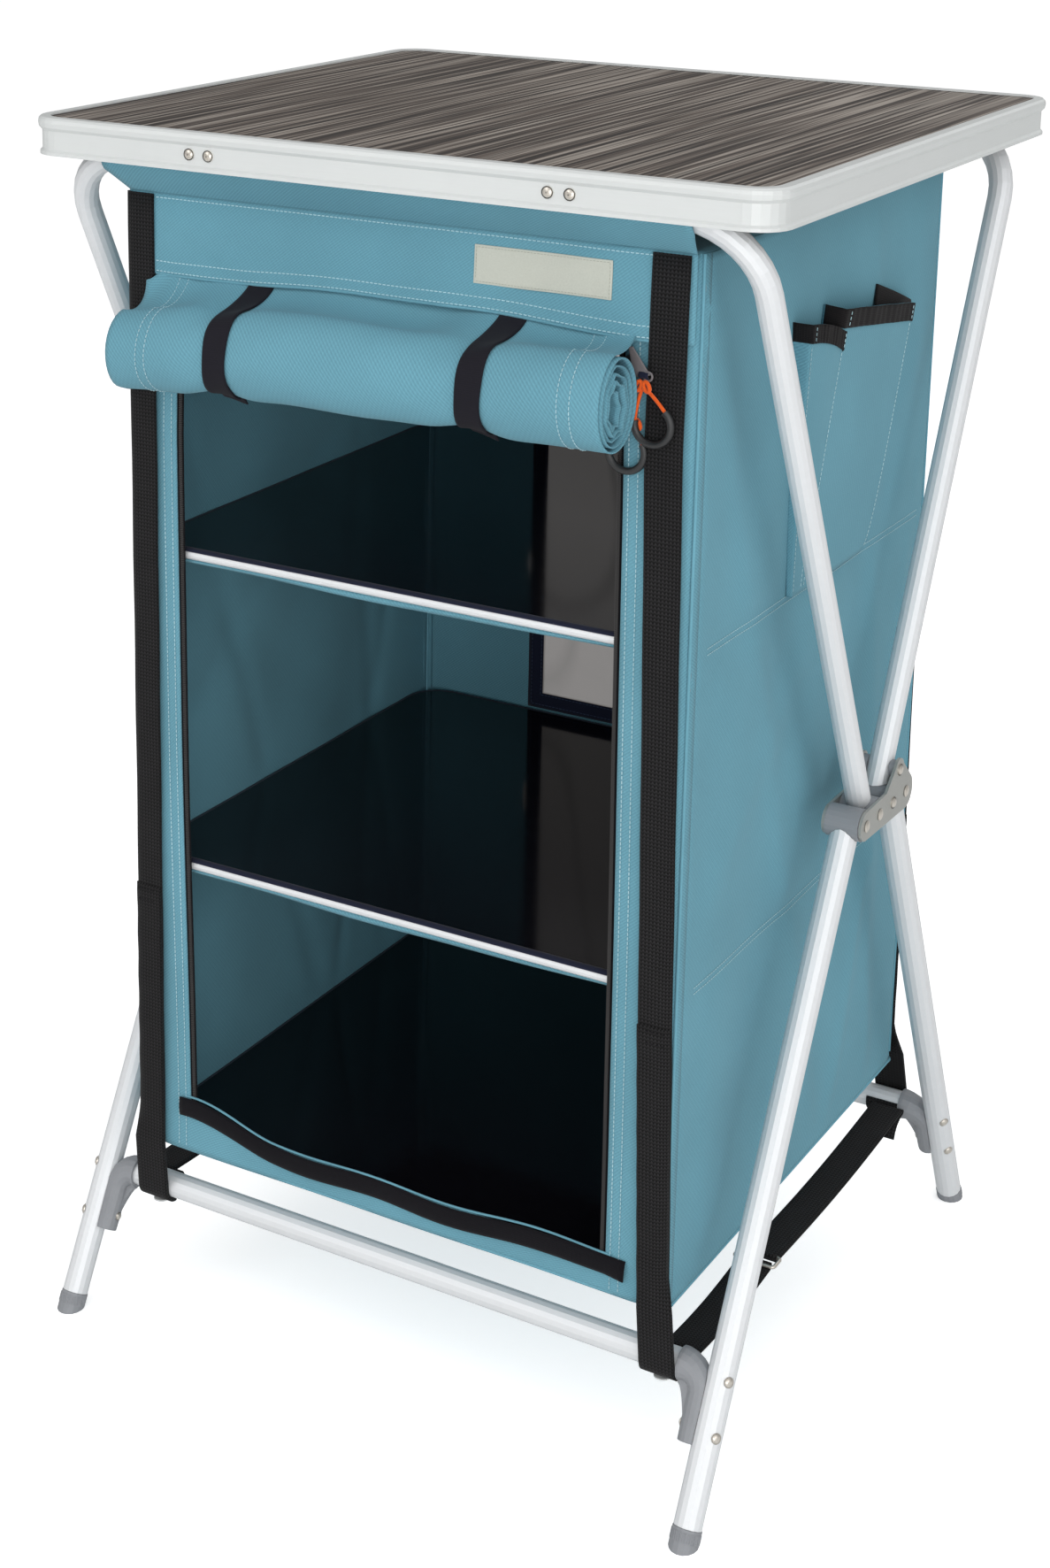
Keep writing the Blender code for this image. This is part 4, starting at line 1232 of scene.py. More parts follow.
    def band_face(self, u: float, v: float, lift: float = 0.0) -> Point:
        """Place on the band over the door, whose hem waves and stands off the rolled door.

        Args:
            u: share across.
            v: share up.
            lift: distance in front of the cloth.

        Returns:
            The place.
        """
        width, height = 2 * self.band_half, PLAN.seam_z - self.band_foot
        x = -width / 2 + u * width
        rise = 0.0062 * max(0.0, 1 - (x / 0.19) ** 2)
        dip = rise + 0.0006 * cos(u * pi * 3 + 0.4) + 0.0005 * sin(u * 21)
        inner = min(1.0, u / 0.1, (1 - u) / 0.1)
        drape = 0.5 + 0.5 * sin(x * 33 + 1.2 * sin(v * 2.4))
        pull = swell(x * 0.45 - v * height, 0.02, 0.008) + swell(x * 0.5 + v * height, -0.052, 0.009)
        free = clamp((0.185 - abs(x)) / 0.02)
        flare = 0.0022 + 0.0022 * free * (1 - v) ** 6
        proud = self.band_proud + flare * (1 - v) * inner + 0.0015 * inner * (1 - v) * drape
        proud += 0.0012 * inner * pull
        return x, PLAN.front_y - proud - lift, self.band_foot + dip * (1 - v) + v * height

    def band(self) -> None:
        """Double band over the door, its bound hem and three rows of stitches."""
        width, height = 2 * self.band_half, PLAN.seam_z - self.band_foot
        flap = Mesher.sheet("door_band", (150, 22), (width, height), self.band_face, 0.0012, self.finishes.teal)
        steps = spread(0.052, 0.896, 96)
        rows = [[self.band_face(u, rise / height, 0.0007) for u in steps] for rise in (0.0022, 0.0098, height - 0.0035)]
        stitches("band_stitches", rows, self.finishes.thread)
        Mesher.cord("band_hem", [self.band_face(u, 0.0, -0.0002) for u in steps], 0.0011, self.finishes.piping,
                    Slot.CLOTH)

    def label(self) -> None:
        """Blank sewn patch that lies on the band."""
        width, height = 2 * self.band_half, PLAN.seam_z - self.band_foot
        (x0, x1), (z0, z1) = self.label_x, self.label_z

        def rule(u: float, v: float, lift: float = 0.0011) -> Point:
            """Place on the patch."""
            x, z = x0 + u * (x1 - x0), z0 + v * (z1 - z0)
            return x, self.band_face((x + width / 2) / width, (z - self.band_foot) / height, lift)[1], z

        patch = Mesher.sheet("label_patch", (30, 10), (x1 - x0, z1 - z0), rule, 0.001, self.finishes.label, None)
        Mesher.round_edges(patch)
        a, b = 0.016, 0.06
        ring = [(a, b), (1 - a, b), (1 - a, 1 - b), (a, 1 - b), (a, b)]
        row = [rule(u0 + (u1 - u0) * i / 12, v0 + (v1 - v0) * i / 12, 0.00165)
               for (u0, v0), (u1, v1) in zip(ring, ring[1:]) for i in range(12)]
        stitches("label_stitches", [row], self.finishes.label_thread, 0.0017, 0.0008, 0.00018, slot=None)

    def collar(self, name: str, bar: Point2, seam_y: float, folds: bool = True) -> None:
        """Collar from the top seam up over a bow's bar.

        Args:
            name: the piece's name.
            bar: the bar's centre as (y, z).
            seam_y: the wall that the collar is sewn to.
            folds: whether it gets a mesh of its own.
        """
        outward = copysign(1.0, seam_y)
        radius = self.bar_radius + 0.0012
        flat_share, bend_from, bend = 0.4, 0.218, 0.058

        def rule(u: float, v: float) -> Point:
            """Place on the collar: flat up to the bar, then round it."""
            x = (-1 + 2 * u) * (0.229 + 0.0075 * min(1.0, v / flat_share))
            over = max(0.0, abs(x) - bend_from)
            cy, cz = bar[0], bar[1] - (bend - sqrt(bend**2 - over**2)) * 0.85
            start = (seam_y, PLAN.seam_z - 0.001)
            reach = dist(start, (cy, cz))
            bearing = atan2(start[1] - cz, (start[0] - cy) * outward)
            first = bearing + acos(radius / reach)
            touch = (cy + outward * radius * cos(first), cz + radius * sin(first))
            if v < flat_share:
                share = v / flat_share
                puff = 0.0012 * sin(share * pi) * (0.6 + 0.4 * sin(x * 29))
                return (x, start[0] + (touch[0] - start[0]) * share + outward * puff,
                        start[1] + (touch[1] - start[1]) * share)
            turn = first + (v - flat_share) / 0.6 * radians(235)
            return x, cy + outward * radius * cos(turn), cz + radius * sin(turn)

        collar = Mesher.sheet(name, (72, 26), (0.46, 0.075), rule, 0.001, self.finishes.teal, folds=folds)

    def piping(self) -> None:
        """Corded edges: the four upright corners, the floor's edges and the top seam."""
        tuck = self.corner_edge - PLAN.corner_tuck
        fronts = (PLAN.front_y + 0.0005, PLAN.rear_y - 0.0005)
        low = PLAN.floor_z + 0.0012
        edges = []
        for side in Side:
            x = side.value * (PLAN.half_x - tuck)
            for y in (fronts[0] + tuck, fronts[1] - tuck):
                edges.append([(x, y, PLAN.floor_z + 0.007), (x, y, PLAN.seam_z)])
        for y in fronts:
            edges.append([(-PLAN.half_x + PLAN.corner, y, low), (PLAN.half_x - PLAN.corner, y, low)])
        for side in Side:
            x = side.value * (PLAN.half_x - 0.0003)
            edges.append([(x, PLAN.front_y + PLAN.corner, low), (x, PLAN.rear_y - PLAN.corner, low)])
            for corner_y, way in ((PLAN.front_y, 1), (PLAN.rear_y, -1)):
                turn = [PLAN.rounded(PLAN.corner * k / 3, True) for k in range(4)]
                turn += [PLAN.rounded(PLAN.corner * k / 3, False) for k in (2, 1, 0)]
                bend = [(side.value * (PLAN.half_x - PLAN.corner + out), corner_y + way * back, low)
                        for out, back in turn]
                edges += [[a, b] for a, b in zip(bend, bend[1:])]
        whole = bmesh.new()
        for a, b in edges:
            Mesher.merge(whole, Mesher.rod(a, b, 0.0013, 10))
        Mesher.piece(whole, "corner_piping", self.finishes.piping, Slot.CLOTH)
        seam = [(x, PLAN.front_y - self.band_proud - 0.0004, PLAN.seam_z + 0.0004) for x in spread(-0.229, 0.458, 12)]
        # The top seam's cord wears the darker teal: painted shade under the table's edge.
        Mesher.cord("top_seam", seam, 0.0009, self.finishes.lining, Slot.CLOTH)

    def corner_binding(self) -> None:
        """Cloth binding inside the four upright seams."""
        whole = bmesh.new()
        inset = self.corner_edge + 0.0026
        for side in Side:
            for y in (PLAN.front_y + inset, PLAN.rear_y - inset):
                x = side.value * (PLAN.half_x - inset)
                Mesher.merge(whole, Mesher.rod((x, y, PLAN.floor_z + 0.008), (x, y, PLAN.seam_z - 0.002), 0.0022, 10))
        Mesher.piece(whole, "corner_binding", self.finishes.teal, Slot.CLOTH)

    def door_edges(self) -> None:
        """Zip tape and coil down both sides, stitch rows beside them, and the hook tape on the sill."""
        rows = []
        for side in Side:
            foot = PLAN.door_z - 0.004 + self.sill_drop(side.value * PLAN.door_x)
            tall = PLAN.hem_z + 0.002 - foot

            def rule(u: float, v: float) -> Point:
                """Place on the tape."""
                z = foot + v * tall
                x = PLAN.door_edge(side, z) + self.tape_under - u * (self.tape + self.tape_under)
                return side.value * x, PLAN.front_y + 0.0022 - self.front_wave(side.value * x, z), z

            Mesher.sheet(f"zip_tape_{side.word}", (3, 110), (self.tape, tall), rule, 0.0008, self.finishes.hook,
                         Slot.TIE)
            self.coil(side)
            rows += [[(side.value * (PLAN.door_edge(side, z) + shift),
                       PLAN.front_y - 0.0006 - self.front_wave(side.value * 0.19, z), z)
                      for z in spread(0.152, 0.71, 60)] for shift in (0.004, 0.011)]
        stitches("facing_stitches", rows, self.finishes.thread)
        self.hook_tape()

    def coil(self, side: Side) -> None:
        """Coil of small teeth down one side of the doorway.

        Args:
            side: which side.
        """
        whole = bmesh.new()
        foot = PLAN.door_z + self.sill_drop(side.value * PLAN.door_x)
        for i in range(self.coils):
            z = foot + i * (PLAN.hem_z - foot - 0.002) / self.coils
            x = PLAN.door_edge(side, z) - self.tape + 0.0017
            y = PLAN.front_y + 0.001 - self.front_wave(side.value * x, z)
            Mesher.bar(whole, self.coil_size, Matrix.Rotation(side.value * 0.3, 3, "Y"), (side.value * x, y, z))
        Mesher.piece(whole, f"zip_coil_{side.word}", self.finishes.teeth, Slot.ZIP, smooth=None)

    def hook_tape(self) -> None:
        """Loose, waving hook tape along the sill and the pale bound edge above it."""
        width, tall = self.hook_size

        def foot(u: float) -> float:
            """Height of the tape's lower edge at a share of its length."""
            sag = -0.004 * sin(u * pi) ** 2 + 0.0016 * sin(u * 17.0)
            return self.hook_foot + sag + self.sill_drop(self.hook_start + u * width)

        def rule(u: float, v: float) -> Point:
            """Place on the tape."""
            off = 0.0016 + 0.0014 * (0.5 + 0.5 * sin(u * 23.0 + 0.5))
            curl = 0.003 * max(0.0, (u - 0.96) / 0.04) * (1 - v)
            y = PLAN.front_y - off - 0.001 * sin(v * pi) - curl
            return self.hook_start + u * width, y, foot(u) + v * tall

        Mesher.sheet("sill_hook_tape", (90, 6), (width, tall), rule, 0.0014, self.finishes.hook, Slot.TIE)
        points = [(-0.19 + u * 0.38, PLAN.front_y - 0.001, foot(u) + tall + 0.0012) for u in spread(0, 1, 60)]
        Mesher.cord("sill_edge", points, 0.0009, self.finishes.piping, Slot.CLOTH)

    def build(self) -> None:
        """Make the whole cabinet."""
        self.front()
        self.wall("left_wall", Side.LEFT)
        self.wall("right_wall", Side.RIGHT)
        self.back()
        self.floor_and_top()
        self.band()
        self.label()
        self.collar("front_collar", self.bar_front, PLAN.front_y - self.seam_proud)
        self.collar("rear_collar", self.bar_rear, PLAN.rear_y + self.seam_proud, folds=False)
        self.piping()
        self.corner_binding()
        self.door_edges()


@dataclass
class RolledDoor:
    """Door wound up under the band, and the two ties round it."""

    finishes: Finishes
    centre: Point2 = (-0.273 + MIDDLE, 0.8265)
    half_y: float = 0.0283
    half_z: float = 0.033
    hem_x: Point2 = (-0.212, 0.1875)
    ends_x: Point2 = (-0.2093, 0.1912)
    pitch: float = 0.0031
    turns: float = 5.2
    fall: float = 0.0055
    shift: float = 0.005
    per_turn: int = 32
    start: float = 97.0
    drop_steps: int = 12
    seam_shares: tuple[float, ...] = (0.072, 0.092, 0.925, 0.948)
    ties: Point2 = (-0.12, 0.0862)
    tie_width: float = 0.0202
    tie_length: float = 0.115
    tie_lean: float = 0.0105
    tie_rows: Point = (1.6, 28.0, 3.0)

    def girth(self, x: float, angle: float) -> float:
        """Scale of the roll: drawn in under the ties, fuller between them.

        Args:
            x: place along the roll.
            angle: angle round it, in radians.

        Returns:
            The scale.
        """
        drawn = sum(swell(x, tie, 0.022) for tie in self.ties)
        near = sum(swell(x, tie, 0.048) for tie in self.ties)
        slim = 0.12 * max(0.0, (self.ends_x[0] + 0.06 - x) / 0.06)
        crease = 0.03 * near * sin(angle * 5 + x * 90)
        ripple = 0.018 * sin(angle * 2 + x * 31) + 0.012 * sin(angle * 3 - x * 57 + 1.0)
        return 1.02 - 0.115 * drawn - slim + ripple + crease

    @staticmethod
    def droop(x: float) -> float:
        """How far the roll hangs lower towards its left end."""
        share = clamp((-0.02 - x) / 0.185)
        return 0.0125 * share * share

    def wound(self, x: float, step: float) -> Point2:
        """Point on the winding; its inner turns have fallen in towards the front.

        Args:
            x: place along the roll.
            step: how many steps the winding has gone from the outside.

        Returns:
            The point, as (y, z).
        """
        depth = step / (self.turns * self.per_turn)
        turn = radians(self.start + 360 * step / self.per_turn)
        slack = max(0.0, depth - 0.3) / 0.7
        loose = max(0.0, depth - 0.19) / 0.81
        corner = 0.5 - abs(sin(3.5 * turn + 0.4))
        bend = 1.0 + slack * (0.34 * corner + 0.05 * sin(2 * turn + 2.1))
        inward = self.pitch * step / self.per_turn
        inward += self.fall * loose
        share = (x - self.ends_x[0]) / (self.ends_x[1] - self.ends_x[0])
        size = self.girth(x, turn)
        ry = (self.half_y - inward) * size * bend
        rz = (self.half_z - inward) * size * bend
        low = self.centre[1] - self.droop(x) - 0.002 * sin(share * pi)
        middle = self.centre[0] - self.shift * loose
        return middle + ry * cos(turn), low + rz * sin(turn) - 0.002 * slack

    def skin(self, x: float, row: float, lift: float = 0.0) -> Point2:
        """Point on the hanging part or the winding.

        Args:
            x: place along the roll.
            row: steps from the hidden seam; the winding starts at drop_steps.
            lift: distance outside the cloth.

        Returns:
            The point, as (y, z).
        """
        if row < self.drop_steps:
            return self.hanging(x, row / self.drop_steps, lift)
        y, z = self.wound(x, row - self.drop_steps)
        angle = atan2(z - self.centre[1] + self.droop(x), y - self.centre[0])
        return y + lift * cos(angle), z + lift * sin(angle)

    def hanging(self, x: float, share: float, lift: float) -> Point2:
        """Point on the flap between the seam and the roll, which sags in a valley between the ties.

        Args:
            x: place along the roll.
            share: share of the way down.
            lift: distance outside the cloth.

        Returns:
            The point, as (y, z).
        """
        over = clamp((-x - 0.19) / 0.02)
        drawn = min(1.0, sum(swell(x, tie, 0.03) for tie in self.ties))
        valley = 0.0062 - 0.005 * drawn + 0.0018 * sin(x * 52 + 0.6) + 0.003 * swell(x, 0.15, 0.035)
        top = (PLAN.front_y - 0.0007 - 0.0069 * over - lift, PLAN.hem_z + 0.01 - 0.015 * over)
        end = self.wound(x, 0.0)
        end = (end[0], end[1] + lift)
        near = (top[0] - 0.0006, top[1] - 0.0075 - valley)
        far = (end[0] + 0.018, end[1] + 0.0008 - valley)
        taut = max(0.55 * clamp((x - 0.152) / 0.026), 0.85 * drawn)
        far = tuple(far[i] + (end[i] + (near[i] - end[i]) * 0.4 - far[i]) * taut for i in (0, 1))
        rest = 1 - share
        weights = (rest**3, 3 * share * rest**2, 3 * share**2 * rest, share**3)
        return tuple(sum(w * p[i] for w, p in zip(weights, (top, near, far, end))) for i in (0, 1))

    def point(self, u: float, row: float, lift: float = 0.0) -> Point:
        """Point of the sheet: the roll is a little longer than the hem, and its ends have slid.

        Args:
            u: share of the way along the roll.
            row: steps from the hidden seam.
            lift: distance outside the cloth.

        Returns:
            The place.
        """
        depth = max(0.0, row - self.drop_steps) / (self.turns * self.per_turn)
        hem = self.hem_x[0] + u * (self.hem_x[1] - self.hem_x[0])
        roll = self.ends_x[0] + u * (self.ends_x[1] - self.ends_x[0])
        share = min(1.0, row / self.drop_steps)
        share = share * share * (3 - 2 * share)
        settled = 0.0085 * min(depth, 0.5) - 0.012 * max(0.0, depth - 0.6)
        slid = (0.0022 * sin(depth * 10.0) + settled) * (2 * u - 1)
        x = hem + (roll - hem) * share + slid * (0.35 if u < 0.5 else 0.6)
        return x, *self.skin(x, row, lift)

    def sheet(self) -> None:
        """The wound cloth."""
        rows = self.drop_steps + int(self.turns * self.per_turn)
        middle = [self.skin(0.0, row) for row in range(rows + 1)]
        length = sum(dist(a, b) for a, b in zip(middle, middle[1:]))
        width = self.ends_x[1] - self.ends_x[0]
        obj = Mesher.sheet("rolled_door", (96, rows), (width, length), lambda u, v: self.point(u, round(v * rows)),
                           0.001, self.finishes.teal, replaces=["door_roll"], smooth=70.0)

    def seam_rows(self) -> None:
        """Two rows of stitches near each end, down from the hem and round the roll."""
        steps = [self.drop_steps * 0.25 + i * 0.5 for i in range(54)]
        rows = [[self.point(u, row, 0.0008) for row in steps] for u in self.seam_shares]
        stitches("door_stitches", rows, self.finishes.thread)

    def tie(self, name: str, node: str, x: float) -> None:
        """One tie: out of the hem, round the roll and down to a short loose end.

        Args:
            name: the piece's name.
            node: the CAD node that it replaces.
            x: where it crosses the roll.
        """
        first, last, over = self.tie_rows

        def rule(u: float, v: float) -> Point:
            """Place on the tie, which lies on the cloth and leans to the right as it rises."""
            row = first + v * (last + over - first)
            wrapped, hang = min(row, last), max(0.0, row - last) / over
            place = x + (u - 0.5) * self.tie_width + self.tie_lean - 0.0075 * (wrapped / last) ** 2.5
            y, z = self.skin(place, wrapped, 0.0019)
            return place + 0.0008 * hang, y + 0.004 * hang, z - 0.0052 * hang * (0.7 + 0.5 * u)

        Mesher.sheet(name, (10, 64), (self.tie_width, self.tie_length), rule, 0.0011, self.finishes.tie, Slot.TIE,
                     replaces=[node], smooth=70.0)

    def build(self) -> None:
        """Make the roll and its ties."""
        self.tie("tie_left", "roll_tie_left", self.ties[0])
        self.tie("tie_right", "roll_tie_right", self.ties[1])
        self.sheet()
        self.seam_rows()


@dataclass
class Straps:
    """Webbing on the cabinet's corners and under its floor, with the snap heads at the crossbars."""

    finishes: Finishes
    width: float = 0.0278
    thick: float = 0.0015
    right_front: tuple[Point2, ...] = (
        (0.105, 0.23), (0.37, 0.2211), (0.62, 0.2154), (0.8, 0.211), (0.925, 0.2128),
    )
    left_front: tuple[Point2, ...] = ((0.105, 0.222), (0.925, 0.221))
    rear: tuple[Point2, ...] = ((0.105, 0.23), (0.925, 0.2125))
    off_wall: float = 0.003
    lift: float = 0.0012
    bar_r: float = 0.0102
    bar_turn: float = 215.0
    doubled_to: float = 0.372
    doubled_points: int = 40
    stitch_inset: float = 0.006
    base_x: float = 0.237
    off_bar: float = 0.0131
    fold_r: float = 0.0015
    buckle_y: float = -0.073 + MIDDLE
    buckle_half: float = 0.007
    buckle_side: float = 0.0026
    buckle_corner: float = 0.002
    buckle_wire: float = 0.0015

    def line(self, end: End, side: Side) -> Callable[[float], float]:
        """Middle of one strap at each height.

        Args:
            end: front or rear.
            side: its side.

        Returns:
            A function from a height to the strap's place along X.
        """
        if end is End.REAR:
            points = self.rear
        else:
            points = self.left_front if side is Side.LEFT else self.right_front

        def middle(z: float) -> float:
            """X at a height."""
            z = min(points[-1][0], max(points[0][0], z))
            for (z0, x0), (z1, x1) in zip(points, points[1:]):
                if z <= z1:
                    break
            return side.value * (x0 + (x1 - x0) * (z - z0) / (z1 - z0))

        return middle

    def path(self, end: End, lift: float, top: float) -> list[Point2]:
        """Down the cabinet's face, under the crossbar and up behind it.

        Args:
            end: front or rear.
            lift: distance of the tape's middle from the face and the bar.
            top: where the tape starts.

        Returns:
            Points as (y, z).
        """
        outward, bar = end.value, PLAN.bar(end)
        radius = self.bar_r + lift
        y = self.face(end) + outward * lift
        start = (y, bar[1] + 0.045)
        reach = dist(start, bar)
        bearing = atan2(start[1] - bar[1], (start[0] - bar[0]) * outward)
        first = bearing - acos(radius / reach)
        drop = [(y + outward * 0.0006 * (0.5 + 0.5 * sin(k * 1.3)), top - k * (top - start[1]) / 30)
                for k in range(31)]
        turns = [first - radians(self.bar_turn) * i / 20 for i in range(21)]
        return drop + [(bar[0] + outward * radius * cos(t), bar[1] + radius * sin(t)) for t in turns]

    def face(self, end: End) -> float:
        """Place along Y where the tape lies: off the wall and, at the front, over the band."""
        return (PLAN.front_y if end is End.FRONT else PLAN.rear_y) + end.value * self.off_wall

    def strap(self, end: End, side: Side) -> None:
        """One corner strap, doubled at its foot, with its stitches and its snap.

        Args:
            end: front or rear.
            side: its side.
        """
        def wrap(co: Vector) -> Sequence[float]:
            """Turn what reaches past the start of a corner back round it, above the floor."""
            past = abs(co.x) - (PLAN.half_x - PLAN.corner)
            if past <= 0 or co.z <= PLAN.floor_z:
                return co
            blend = min(1.0, (co.z - PLAN.floor_z) / 0.03)
            turned, back = PLAN.rounded(past, True)
            x = copysign(abs(co.x) + (turned - past) * blend, co.x)
            return x, co.y - end.value * back * blend, co.z

        word = f"{end.word}_{side.word}"
        line, half = self.line(end, side), self.width / 2

        def across(co: Vector) -> Sequence[float]:
            """Shift a point to the strap's middle at its height, then round the corner."""
            return wrap(Vector((line(co.z) + co.x, co.y, co.z)))

        path = self.path(end, self.lift, PLAN.seam_z - 0.001)
        outer = self.path(end, self.lift + self.thick + 0.0003, self.doubled_to)[:self.doubled_points]
        for name, points, nodes in ((f"strap_{word}", path, [f"webbing_{word}"]), (f"strap_{word}_double", outer, [])):
            Mesher.strip(name, points, (-half, half), 8, self.thick, self.finishes.webbing, Slot.WEBBING, across,
                         replaces=nodes, smooth=70.0)
        y, inset = self.face(end) + end.value * (self.lift + self.thick * 1.5 + 0.0008), self.stitch_inset
        rows = [[(line(z) - half + inset, y, z), (line(z) + half - inset, y, z)]
                for z in (self.doubled_to - 0.003, self.doubled_to - 0.012)]
        stitches(f"strap_stitches_{word}", rows, self.finishes.hook, slot=Slot.WEBBING)
        self.snap(end, side)

    def snap(self, end: End, side: Side) -> None:
        """Pale snap head under the crossbar.

        Args:
            end: front or rear.
            side: its side.
        """
        bar_y, bar_z = PLAN.bar(end)
        head = Mesher.dome(0.0062, 0.0012, 0.0012, 18)
        at = Vector((self.line(end, side)(bar_z), bar_y + end.value * 0.002, bar_z - self.bar_r - 0.004))
        bmesh.ops.rotate(head, matrix=Matrix.Rotation(pi, 3, "X"), verts=head.verts)
        bmesh.ops.translate(head, vec=at, verts=head.verts)
        Mesher.piece(head, f"snap_{end.word}_{side.word}", self.finishes.rim, Slot.RIM)

    def base(self, side: Side) -> None:
        """The two lengths of strap under the floor, each to its side of the buckle.

        Args:
            side: their side.
        """
        z = PLAN.bar_z
        wrap = self.buckle_wire + 0.0004 + self.thick / 2
        bar_a, bar_b = self.buckle_y - self.buckle_half, self.buckle_y + self.buckle_half
        start = PLAN.front_bar_y + self.off_bar
        slack = [(start + (bar_a - start) * i / 14, z - 0.0035 * sin(i / 14 * pi)) for i in range(14)]
        front = slack + arc((bar_a, z + wrap), (wrap, wrap), 270, 440, 10)
        fold_y = PLAN.rear_bar_y - self.off_bar - 0.0008 - self.fold_r
        tail = [(fold_y - 0.019, z - 0.017), (fold_y - 0.0165, z - 0.011), (fold_y - 0.0125, z - 0.0062),
                (fold_y - 0.006, z - 0.0026)]
        nose = arc((fold_y, z), (self.fold_r, self.fold_r), 270, 450, 8)
        run = [(fold_y + (bar_b - fold_y) * i / 16,
                z + self.fold_r - self.fold_r * i / 16 - 0.0045 * sin(i / 16 * pi)) for i in range(1, 16)]
        rear = tail + nose + run + arc((bar_b, z + wrap), (wrap, wrap), 270, 100, 10)
        x = side.value * self.base_x
        for word, path in (("front", front), ("rear", rear)):
            Mesher.strip(f"floor_strap_{word}_{side.word}", path, (x - self.width / 2, x + self.width / 2), 6,
                         self.thick, self.finishes.webbing, Slot.WEBBING,
                         replaces=[f"base_strap_{word}_{side.word}"], smooth=70.0)
        self.buckle(side, x, z + wrap)

    def buckle(self, side: Side, x: float, z: float) -> None:
        """Wire buckle with rounded corners, laid flat.

        Args:
            side: its side.
            x: its middle along X.
            z: its height.
        """
        reach, corner = self.width / 2 + self.buckle_side, self.buckle_corner
        low, high = self.buckle_y - self.buckle_half, self.buckle_y + self.buckle_half
        ring = []
        for cx, cy, facing in ((x - reach, low, 225), (x + reach, low, 315), (x + reach, high, 45),
                               (x - reach, high, 135)):
            inset_x = cx - copysign(corner, cx - x)
            inset_y = cy - copysign(corner, cy - self.buckle_y)
            for step in (-45, -15, 15, 45):
                angle = radians(facing + step)
                ring.append((inset_x + corner * cos(angle), inset_y + corner * sin(angle), z))
        Mesher.cord(f"buckle_{side.word}", ring, self.buckle_wire, self.finishes.rivet, Slot.RIVET, 3, True,
                    replaces=[f"strap_buckle_{side.word}"])

    def build(self) -> None:
        """Make every strap."""
        for side in Side:
            for end in End:
                self.strap(end, side)
            self.base(side)


